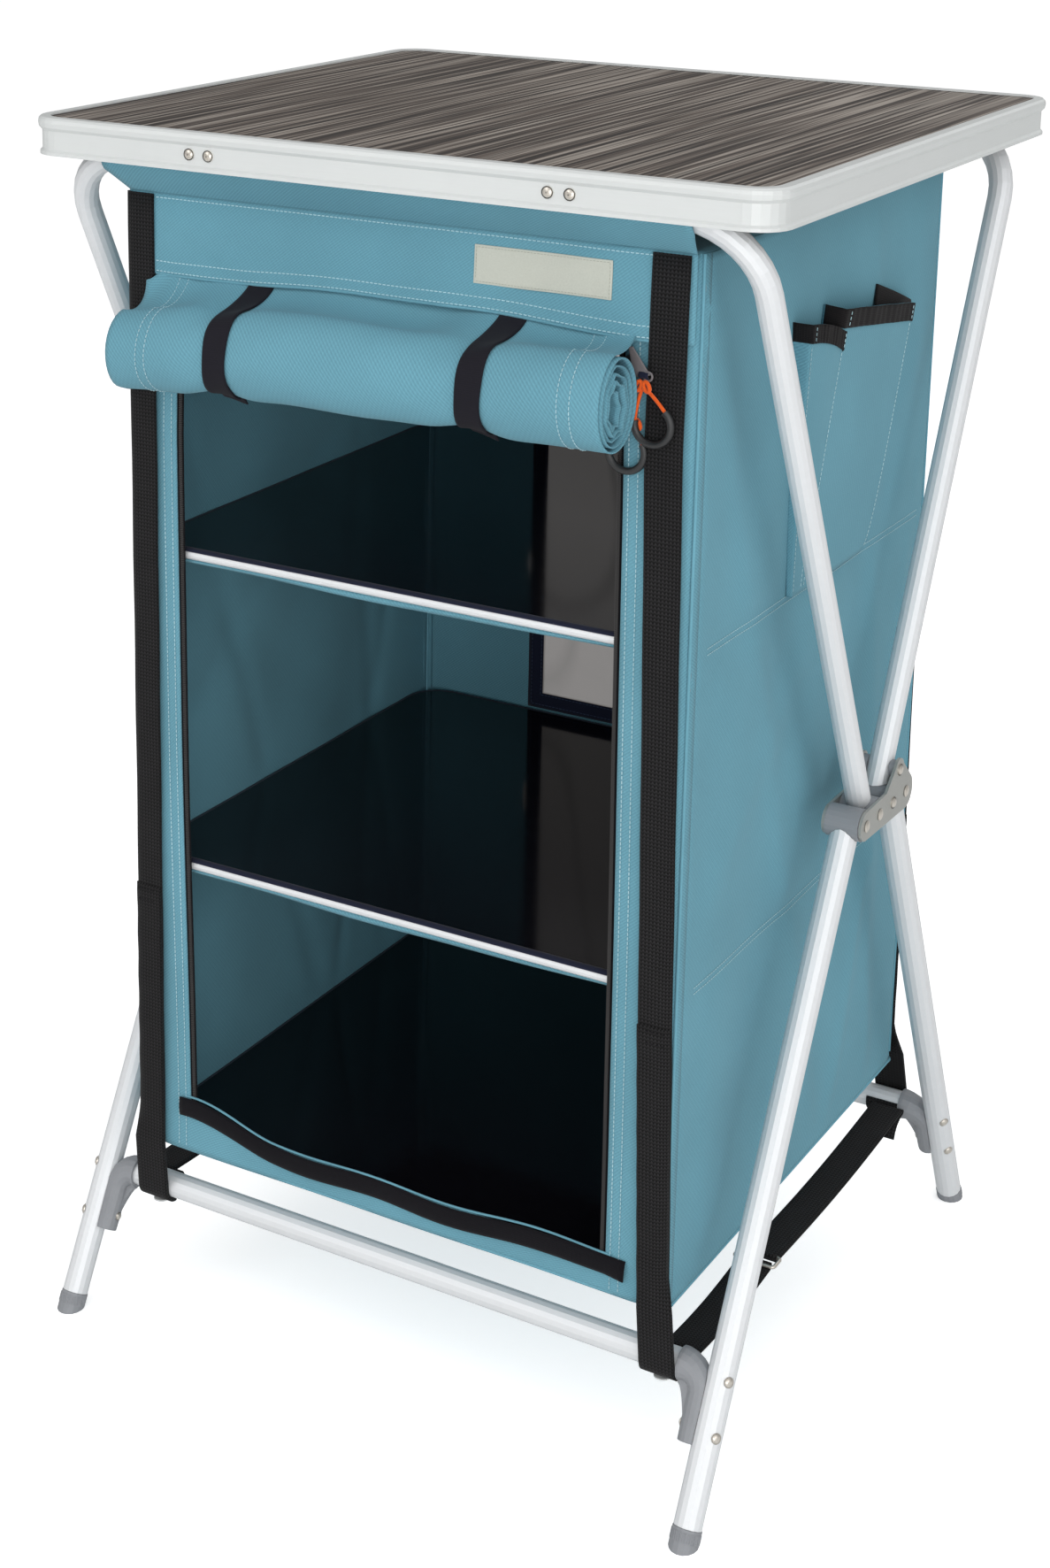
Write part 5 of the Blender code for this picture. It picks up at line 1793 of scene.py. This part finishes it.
@dataclass
class Pockets:
    """Two pockets on the right wall, each with a gathered elastic mouth."""

    finishes: Finishes
    bulge: float = 0.015
    foot_bulge: float = 0.004
    bottom: float = 0.647
    elastic: float = 0.0137
    gusset: float = 0.03
    off_wall: float = 0.0006
    inner_y: Point2 = (0.0675 + MIDDLE, 0.142 + MIDDLE)

    @staticmethod
    def section(u: float, out: float) -> Point2:
        """Section of a pocket: up from the wall, across and back.

        Args:
            u: share of the way round.
            out: how far it stands off the wall.

        Returns:
            Distance off the wall, and share of the width.
        """
        ramp, edge = 0.12, 0.03
        if u < ramp:
            share = u / ramp
            return out * sin(share * pi / 2), edge * (1 - cos(share * pi / 2))
        if u > 1 - ramp:
            share = (1 - u) / ramp
            return out * sin(share * pi / 2), 1 - edge * (1 - cos(share * pi / 2))
        share = (u - ramp) / (1 - 2 * ramp)
        return out * (1.0 + 0.1 * sin(share * pi)), edge + 0.94 * share

    def pocket(self, name: str, node: str, mouth: Point2, foot: Point2, tops: Point, powers: Point2) -> None:
        """One pocket.

        Args:
            name: the piece's name.
            node: the CAD node that it replaces.
            mouth: where the mouth starts and ends along Y.
            foot: where the foot starts and ends.
            tops: height of the mouth at its start, middle and end.
            powers: how the two upright edges bend between foot and mouth.
        """
        def rule(u: float, v: float, extra: float = 0.0, band: bool = False) -> Point:
            """Place on the pocket, or on its band, at a share round it and a height share."""
            top = tops[0] + (tops[2] - tops[0]) * u + 4 * u * (1 - u) * (tops[1] - (tops[0] + tops[2]) / 2)
            height = top - self.bottom
            if band:
                v = 1 - self.elastic / height * (1 - v)
            start = foot[0] + (mouth[0] - foot[0]) * v ** powers[0]
            stop = foot[1] + (mouth[1] - foot[1]) * v ** powers[1]
            out = self.foot_bulge + (self.bulge - self.foot_bulge) * v ** 1.3
            gather = 1.0 - 0.07 * max(0.0, (v - 0.88) / 0.12) * (0.5 + 0.5 * sin(u * 26))
            off, share = self.section(u, out * gather)
            x = PLAN.half_x + self.off_wall + off + extra
            return x, start + (stop - start) * share, self.bottom + v * height

        def mouth_band(u: float, v: float) -> Point:
            """Place on the gathered band."""
            return rule(u, v, 0.0013 + 0.0003 * sin(u * 110), True)

        width, tall = mouth[1] - mouth[0] + self.gusset, tops[1] - self.bottom
        obj = Mesher.sheet(name, (64, 48), (width, tall), rule, 0.0011, self.finishes.teal, replaces=[node],
                           smooth=60.0, recalc=False)
        Mesher.sheet(f"{name}_elastic", (84, 6), (width, self.elastic), mouth_band, 0.0013, self.finishes.elastic,
                     Slot.WEBBING, smooth=60.0, recalc=False)
        rows = [[rule(u, v, 0.0009) for v in spread(0.02, 0.9, 30)] for u in (0.13, 0.87)]
        rows += [[rule(u, v, 0.0024, True) for v in (0.08, 0.5, 0.92)] for u in (0.16, 0.86)]
        stitches(f"{name}_stitches", rows, self.finishes.thread, radius=0.00026)

    def inner_band(self) -> None:
        """Elastic on the wall side of the rear pocket's mouth, standing up behind it."""
        start, stop = self.inner_y

        def rule(u: float, v: float) -> Point:
            """Place on the band."""
            top = 0.8546 - 0.025 * u
            low = 0.835 - 0.018 * u
            y = start + (stop - start) * u - 0.006 * (1 - v) * (1 - u)
            return PLAN.half_x + 0.003 + 0.008 * u * (1 - u) + 0.0015 * (1 - v), y, low + (top - low) * v

        Mesher.sheet("pocket_rear_inner_elastic", (30, 8), (stop - start, 0.018), rule, 0.0013,
                     self.finishes.elastic, Slot.WEBBING, smooth=60.0)

    def build(self) -> None:
        """Make both pockets."""
        y = PLAN.front_y
        self.pocket("pocket_front", "side_pocket_front", (y + 0.1465, y + 0.2125), (y + 0.1605, y + 0.18),
                    (0.8535, 0.8475, 0.8325), (1.0, 0.9))
        self.pocket("pocket_rear", "side_pocket_rear", (y + 0.206, y + 0.354), (y + 0.169, y + 0.294),
                    (0.856, 0.844, 0.83), (1.4, 0.45))
        self.inner_band()


@dataclass
class ZipPulls:
    """Tab, orange cord and black grip of each zip slider."""

    finishes: Finishes
    tab_y: float = PLAN.front_y - 0.0058
    tab_corners: tuple[Point2, ...] = ((0.1836, 0.8585), (0.1868, 0.859), (0.2008, 0.8412), (0.1886, 0.8385))
    eye: Point2 = (0.1992, 0.8402)
    eye_radius: float = 0.003
    grip_radius: float = 0.0134
    grip_wire: float = 0.0026
    cord_radius: float = 0.0013
    knot_radii: Point2 = (0.0021, 0.0034)

    def tab(self, side: Side) -> None:
        """Grey wedge-shaped tab on the slider, with an eye and the navy end of the zip tape.

        Args:
            side: which slider.
        """
        s, y, body = side.value, self.tab_y, f"zip_{side.word}"
        corners = self.tab_corners

        def rule(u: float, v: float) -> Point:
            """Place on the tab."""
            low = [corners[0][i] + (corners[3][i] - corners[0][i]) * u for i in (0, 1)]
            high = [corners[1][i] + (corners[2][i] - corners[1][i]) * u for i in (0, 1)]
            return s * (low[0] + (high[0] - low[0]) * v), y - 0.001 * u, low[1] + (high[1] - low[1]) * v

        def loop(u: float, v: float) -> Point:
            """Place on the tape's end."""
            return s * (0.1925 + u * 0.007), y - 0.0028 + 0.003 * (2 * v - 1) ** 2, 0.838 + v * 0.0055

        Mesher.round_edges(Mesher.sheet(f"zip_tab_{side.word}", (6, 4), (1, 1), rule, 0.0014, self.finishes.tab,
                                        Slot.ZIP, body=body))
        ring = [(s * (self.eye[0] + a), y - 0.0012, self.eye[1] + b)
                for a, b in arc((0.0, 0.0), (self.eye_radius, self.eye_radius), 0, 345, 16)]
        Mesher.cord(f"zip_eye_{side.word}", ring, 0.0008, self.finishes.tab, Slot.ZIP, 3, True, body=body)
        Mesher.sheet(f"zip_loop_{side.word}", (4, 8), (0.0075, 0.006), loop, 0.001, self.finishes.navy, body=body)

    def pull(self, side: Side, name: str, knot: Point, centre: Point, tilt: float) -> None:
        """One pull: a doubled cord from a knot to the two ends of a bent grip.

        Args:
            side: which slider it hangs from.
            name: the pull's name.
            knot: where the cord is looped on.
            centre: the grip's middle.
            tilt: lean of the grip in degrees.
        """
        body = f"zip_{side.word}"
        r = self.grip_radius
        turns = [radians(tilt + 150 + i * 240 / 18) for i in range(19)]
        ring = [(centre[0] + r * cos(t), centre[1], centre[2] + r * sin(t)) for t in turns]
        Mesher.cord(f"{name}_grip", ring, self.grip_wire, self.finishes.grip, None, 4, body=body)
        whole = bmesh.new()
        for end, bow in ((ring[0], -0.0015), (ring[-1], 0.0022)):
            middle = tuple((a + b) / 2 for a, b in zip(knot, end))
            soft = [knot, *self.curve(knot, (middle[0] + bow, middle[1] - 0.0006, middle[2]), end), end]
            Mesher.merge(whole, Mesher.tube(soft, self.cord_radius, 3))
        for dx, lean in ((-0.003, 0.6), (0.003, -0.6)):
            points = [(knot[0] + dx + a + lean * b * 0.5, knot[1] - 0.0014, knot[2] + b)
                      for a, b in arc((0.0, 0.0), self.knot_radii, 0, 360, 12)[:-1]]
            Mesher.merge(whole, Mesher.tube(points, self.cord_radius * 1.15, 3, True))
        Mesher.piece(whole, f"{name}_cord", self.finishes.cord, None, body, smooth=80.0)

    @staticmethod
    def curve(a: Point, b: Point, c: Point) -> list[Point]:
        """Seven points between a and c, on a smooth bend that leans towards b."""
        return [tuple((1 - t) ** 2 * p + 2 * t * (1 - t) * q + t * t * s for p, q, s in zip(a, b, c))
                for t in (i / 8 for i in range(1, 8))]

    def build(self) -> None:
        """Make the pulls of both sliders."""
        y = PLAN.front_y
        for side in Side:
            self.tab(side)
        self.pull(Side.RIGHT, "pull_outer", (0.196, y - 0.0074, 0.8335), (0.204, y - 0.0078, 0.8075), 20)
        self.pull(Side.RIGHT, "pull_inner", (0.1885, y - 0.004, 0.806), (0.1835, y - 0.004, 0.7855), 0)
        self.pull(Side.LEFT, "pull_left", (-0.205, y - 0.0098, 0.827), (-0.2285, y - 0.01, 0.7905), -30)


@dataclass(frozen=True)
class Legs:
    """Line of one pair of legs in the side view, along Y before MIDDLE is added."""

    end: End
    pivot: float
    foot: float

    @property
    def run(self) -> Vector:
        """Direction from the pivot down to the foot."""
        return Vector((0, self.foot - self.pivot, -PLAN.hinge_z)).normalized()

    def at(self, x: float, z: float) -> Vector:
        """Middle of the leg's tube at a height."""
        run = self.run
        return Vector((x, self.pivot + MIDDLE, PLAN.hinge_z)) + run * ((z - PLAN.hinge_z) / run.z)


@dataclass
class Hardware:
    """Rivets, screws, rail sleeves and the finishes of the CAD nodes."""

    finishes: Finishes
    tube_x: float = 0.276
    bow_pivot_y: float = 0.0196 + MIDDLE
    lobe_reach: float = 0.0255
    lobe_turn: float = 25.4
    spacer: Point = (0.0088, 0.0134, 0.0068)
    leg_pairs: tuple[Legs, ...] = (Legs(End.FRONT, -0.0348, -0.2806), Legs(End.REAR, 0.0468, 0.2708))
    screw_face: float = -0.274 + 0.003 + MIDDLE
    screw_z: float = 0.9618
    rail_z: tuple[tuple[str, float], ...] = (("upper", 0.6475), ("lower", 0.3932))
    shelf_z: tuple[tuple[str, str, float], ...] = (
        ("upper", "upper_shelf", 0.6498), ("lower", "lower_shelf", 0.3955), ("base", "base_board", 0.1556),
    )
    ribs: int = 36
    rib_reach: float = 0.0108

    @staticmethod
    def rivet(whole: BMesh, at: Sequence[float], out: Sequence[float], radius: float, height: float
              ) -> None:
        """Add a rivet head.

        Args:
            whole: the mesh it joins.
            at: the middle of its foot.
            out: the way it faces.
            radius: its radius.
            height: height of its dome.
        """
        head = Mesher.dome(radius, height, height * 0.5)
        bmesh.ops.transform(head, matrix=aimed(at, out), verts=head.verts)
        Mesher.merge(whole, head)

    def hinge_rivets(self) -> None:
        """Fixed rivets of the rear bow: one in line with the pins and one up its tube, with spacers."""
        whole, spacers = bmesh.new(), bmesh.new()
        y3, turn = self.bow_pivot_y, radians(self.lobe_turn)
        lobe = (y3 + self.lobe_reach * sin(turn), PLAN.hinge_z + self.lobe_reach * cos(turn))
        near, far, radius = self.spacer
        for side in Side:
            for y, z in ((y3, PLAN.hinge_z), lobe):
                for inward in (1, -1):
                    x = side.value * (self.tube_x + inward * (0.0132 + 0.0003 + 0.0022))
                    self.rivet(whole, (x, y, z), (side.value * inward, 0, 0), 0.0046, 0.0014)
            for inward in (1, -1):
                a, b = (side.value * (self.tube_x + inward * off) for off in (near, far))
                Mesher.merge(spacers, Mesher.rod((a, *lobe), (b, *lobe), radius, 20))
        Mesher.piece(whole, "hinge_rivets", self.finishes.rivet, Slot.RIVET, folds=False)
        Mesher.piece(spacers, "hinge_spacers", self.finishes.plastic, Slot.PLASTIC, folds=False)

    def leg_rivets(self) -> None:
        """Two rivets through each leg into its elbow, with a screw head inside."""
        for legs in self.leg_pairs:
            whole = bmesh.new()
            face = Vector((0, legs.run.z, -legs.run.y))
            for side in Side:
                x = side.value * self.tube_x
                out = (Vector((side.value * 0.8, 0, 0)) + face * 0.6).normalized()
                for z in (0.1035, 0.0685):
                    self.rivet(whole, legs.at(x, z) + out * 0.0101, out, 0.004, 0.0014)
                at = legs.at(x, 0.0705) + Vector((side.value * -0.0216, 0, 0))
                self.rivet(whole, at, (-side.value, 0, 0), 0.0034, 0.0012)
            Mesher.piece(whole, f"leg_rivets_{legs.end.word}", self.finishes.rivet, Slot.RIVET,
                         f"{legs.end.word}_legs")

    def rim_screws(self) -> None:
        """Two pairs of cross-head screws on the front of the rim."""
        whole = bmesh.new()
        for middle in (-0.144, 0.144):
            for shift in (-0.0082, 0.0082):
                head = Mesher.dome(0.0042, 0.0012, 0.001, 24)
                for turn in (0.35, 0.35 + pi / 2):
                    Mesher.bar(head, (0.0044, 0.0008, 0.0003), Matrix.Rotation(turn, 3, "Z"), (0, 0, 0.00225))
                place = Matrix.Translation((middle + shift, self.screw_face, self.screw_z))
                bmesh.ops.transform(head, matrix=place @ Matrix.Rotation(pi / 2, 4, "X"), verts=head.verts)
                Mesher.merge(whole, head)
        Mesher.piece(whole, "rim_screws", self.finishes.rivet, Slot.RIVET, "tabletop")

    def rail_sleeves(self) -> None:
        """Cloth hem that hangs under each shelf rail, and the navy trim over the rail."""
        y = PLAN.front_y + 0.0085
        for word, z in self.rail_z:
            def sag(co: Vector) -> Point:
                """Let the hem wave below the rail."""
                low = max(0.0, (z - 0.004 - co.z) / 0.004)
                return (co.x, co.y + 0.0008 * low * sin(co.x * 41),
                        co.z - 0.0012 * low * sin(co.x * 17 + 1.6))

            path = [(y + 0.0005, z - 0.004), (y - 0.0006, z - 0.006), (y + 0.0002, z - 0.0078)]
            Mesher.strip(f"rail_hem_{word}", path, (-0.232, 0.232), 60, 0.0008, self.finishes.teal, Slot.CLOTH, sag,
                         body=f"{word}_shelf")
            sleeve = arc((-0.227 + MIDDLE, z), (0.0047, 0.0047), 20, 142, 10)
            Mesher.strip(f"rail_trim_{word}", sleeve, (-0.2325, 0.2325), 40, 0.0007, self.finishes.navy, Slot.CLOTH,
                         body=f"{word}_shelf")

    def shelf_edges(self) -> None:
        """Bound edge along the sides and back of each shelf board."""
        half, back, r = 0.2326, PLAN.rear_y - 0.0066, 0.03
        for name, body, z in self.shelf_z:
            ring = [(half, PLAN.front_y + 0.014), *arc((half - r, back - r), (r, r), 0, 90, 8)]
            ring += [(-x, y) for x, y in reversed(ring)]
            Mesher.cord(f"shelf_edge_{name}", [(x, y, z) for x, y in ring], 0.0014, self.finishes.edge, Slot.SHELF, 3,
                        body=body)

    def foot_ribs(self) -> None:
        """Fine ribs round each foot cap, except those that would reach into the ground."""
        for legs in self.leg_pairs:
            whole = bmesh.new()
            turn = legs.run.to_track_quat("Z", "Y")
            for side in Side:
                x = side.value * self.tube_x
                for i in range(self.ribs):
                    angle = i / self.ribs * tau
                    out = turn @ Vector((cos(angle), sin(angle), 0)) * self.rib_reach
                    a, b = (legs.at(x, z) + out for z in (0.0088, 0.0026))
                    if min(a.z, b.z) >= 0.0012:
                        Mesher.merge(whole, Mesher.rod(a, b, 0.00045, 6))
            Mesher.piece(whole, f"foot_ribs_{legs.end.word}", self.finishes.plastic, Slot.PLASTIC,
                         f"{legs.end.word}_legs")

    def elbow_webs(self) -> None:
        """Thin web inside the bend of each elbow."""
        for legs in self.leg_pairs:
            whole = bmesh.new()
            centre = Vector((0, *PLAN.bar(legs.end)))
            for side in Side:
                def rule(u: float, v: float) -> Point:
                    """Place on the web."""
                    at = centre + legs.run * (0.009 + v * (0.0045 + 0.029 * u**1.6))
                    return side.value * (0.2462 + 0.011 * u), at.y, at.z

                one = Mesher.mapped(Mesher.grid(6, 4), rule)
                bmesh.ops.recalc_face_normals(one, faces=one.faces)
                bmesh.ops.solidify(one, geom=list(one.faces), thickness=0.0045)
                Mesher.merge(whole, one)
            Mesher.piece(whole, f"elbow_webs_{legs.end.word}", self.finishes.plastic, Slot.PLASTIC,
                         f"{legs.end.word}_legs")

    def dress(self, frame: dict) -> None:
        """Give each CAD node that stays its finish.
        """
        looks = (
            (("upper_", "front_leg", "rear_leg", "front_crossbar", "rear_crossbar", "shelf_rail"), self.finishes.tube),
            (("tabletop_rim",), self.finishes.rim),
            (("tabletop_board",), self.finishes.laminate),
            (("barrel", "front_foot", "rear_foot", "front_elbow", "rear_elbow"), self.finishes.plastic),
            (("hinge_plate",), self.finishes.steel),
            (("pin_",), self.finishes.rivet),
            (("shelf_board",), self.finishes.gloss),
            (("zip_slider",), self.finishes.slider),
        )
        for name in frame["nodes"]:
            for starts, finish in looks:
                if name.startswith(starts):
                    obj = bpy.data.objects[name]
                    obj.data.materials.clear()
                    obj.data.materials.append(finish)

    def build(self, frame: dict) -> None:
        """Make the trims and dress the frame.
        """
        self.hinge_rivets()
        self.leg_rivets()
        self.rim_screws()
        self.rail_sleeves()
        self.shelf_edges()
        self.foot_ribs()
        self.elbow_webs()
        self.dress(frame)


@dataclass(frozen=True)
class Studio:
    """Camera, floor, lamps and backdrop."""

    position: Point = (0.93328, -1.78392 + MIDDLE, 1.24848)
    azimuth: float = 0.5541077
    elevation: float = 0.2471481
    roll: float = 0.0066237
    focal_pixels: float = 2976.178
    principal: Point2 = (413.939, 456.475)
    frame_pixels: tuple[int, int] = (1187, 1772)
    sensor: float = 36.0
    floor_size: float = 14.0

    def camera(self) -> None:
        """Camera that sees what the photograph sees."""
        az, el = self.azimuth, self.elevation
        back = Vector((sin(az) * cos(el), -cos(az) * cos(el), sin(el)))
        right = (-back).cross(Vector((0, 0, 1))).normalized()
        up = right.cross(-back)
        c, s = cos(self.roll), sin(self.roll)
        across, upright = right * c + up * s, up * c - right * s
        lens = bpy.data.cameras.new("camera")
        width, height = self.frame_pixels
        lens.sensor_width = self.sensor
        lens.lens = self.focal_pixels * self.sensor / height
        lens.shift_x = (width / 2 - self.principal[0]) / height
        lens.shift_y = (self.principal[1] - height / 2) / height
        lens.clip_end = 50.0
        obj = bpy.data.objects.new("camera", lens)
        turn = Matrix((across, upright, back)).transposed().to_4x4()
        obj.matrix_world = Matrix.Translation(self.position) @ turn
        bpy.context.scene.collection.objects.link(obj)
        bpy.context.scene.camera = obj

    @staticmethod
    def lamp(name: str, place: Point, target: Point, size: float, power: float) -> None:
        """Square area lamp that points at a target.

        Args:
            name: its name.
            place: where it hangs.
            target: what it points at.
            size: its edge.
            power: its power in watts.
        """
        light = bpy.data.lights.new(name, "AREA")
        light.size = size
        light.energy = power
        obj = bpy.data.objects.new(name, light)
        obj.matrix_world = aimed(place, Vector(target) - Vector(place), "-Z")
        bpy.context.scene.collection.objects.link(obj)

    @staticmethod
    def world() -> None:
        """White for the camera; for light and gloss, bright above and in front and darker behind."""
        world = bpy.data.worlds.new("studio")
        bpy.context.scene.world = world
        world.use_nodes = True
        nodes, links = world.node_tree.nodes, world.node_tree.links
        ground = nodes["Background"]
        ground.inputs["Color"].default_value = (1.0, 1.0, 1.0, 1.0)
        path = nodes.new("ShaderNodeLightPath")
        place = nodes.new("ShaderNodeTexCoord")
        facing = nodes.new("ShaderNodeVectorMath")
        facing.operation = "DOT_PRODUCT"
        facing.inputs[1].default_value = (0.25, -0.75, 0.6)
        links.new(place.outputs["Generated"], facing.inputs[0])
        soft = nodes.new("ShaderNodeMapRange")
        for key, value in (("From Min", -0.75), ("From Max", 0.85), ("To Min", 0.2), ("To Max", 0.7)):
            soft.inputs[key].default_value = value
        links.new(facing.outputs["Value"], soft.inputs["Value"])
        seen = nodes.new("ShaderNodeMix")
        links.new(path.outputs["Is Camera Ray"], seen.inputs[0])
        links.new(soft.outputs[0], seen.inputs[2])
        seen.inputs[3].default_value = 1.0
        links.new(seen.outputs[0], ground.inputs["Strength"])

    def floor(self) -> None:
        """Plain pale floor."""
        bm = bmesh.new()
        bmesh.ops.create_grid(bm, x_segments=1, y_segments=1, size=self.floor_size)
        mesh = bpy.data.meshes.new("studio_floor")
        bm.to_mesh(mesh)
        bm.free()
        obj = bpy.data.objects.new("studio_floor", mesh)
        bpy.context.scene.collection.objects.link(obj)
        graph = Graph("studio_floor")
        cloud = graph.noise(graph.place(), 3.0, 2.0)
        graph.set(Base_Color=graph.mix(cloud, (0.9, 0.9, 0.9), (0.93, 0.93, 0.93)), Roughness=0.9)
        path = graph.node("ShaderNodeLightPath", {}, {}, "Is Camera Ray")
        graph.set(Emission_Color=graph.mix(path, (0.0, 0.0, 0.0), (1.0, 1.0, 1.0)), Emission_Strength=0.55)
        mesh.materials.append(graph.material)

    def build(self) -> None:
        """Set up the studio."""
        self.camera()
        self.world()
        self.floor()
        self.lamp("key_lamp", (-1.7, -3.0, 2.9), (0, 0, 0.55), 2.6, 38)
        self.lamp("side_lamp", (3.2, -1.8, 2.2), (0, 0, 0.5), 3.2, 42)
        self.lamp("front_lamp", (1.7, -3.4, 1.0), (0, 0, 0.5), 1.8, 35)
        self.lamp("rear_lamp", (0.6, 2.6, 2.6), (0, 0.1, 0.6), 2.0, 18)
        bpy.context.scene.view_settings.view_transform = "Standard"


def main() -> None:
    """Build the cupboard and its studio."""
    logging.basicConfig(level=logging.INFO, format="%(name)s %(message)s")
    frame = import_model()
    Studio().build()
    finishes = Finishes()
    Cabinet(finishes).build()
    RolledDoor(finishes).build()
    Straps(finishes).build()
    Pockets(finishes).build()
    ZipPulls(finishes).build()
    Hardware(finishes).build(frame)
    bpy.context.view_layer.update()


if __name__ == "__main__":
    main()
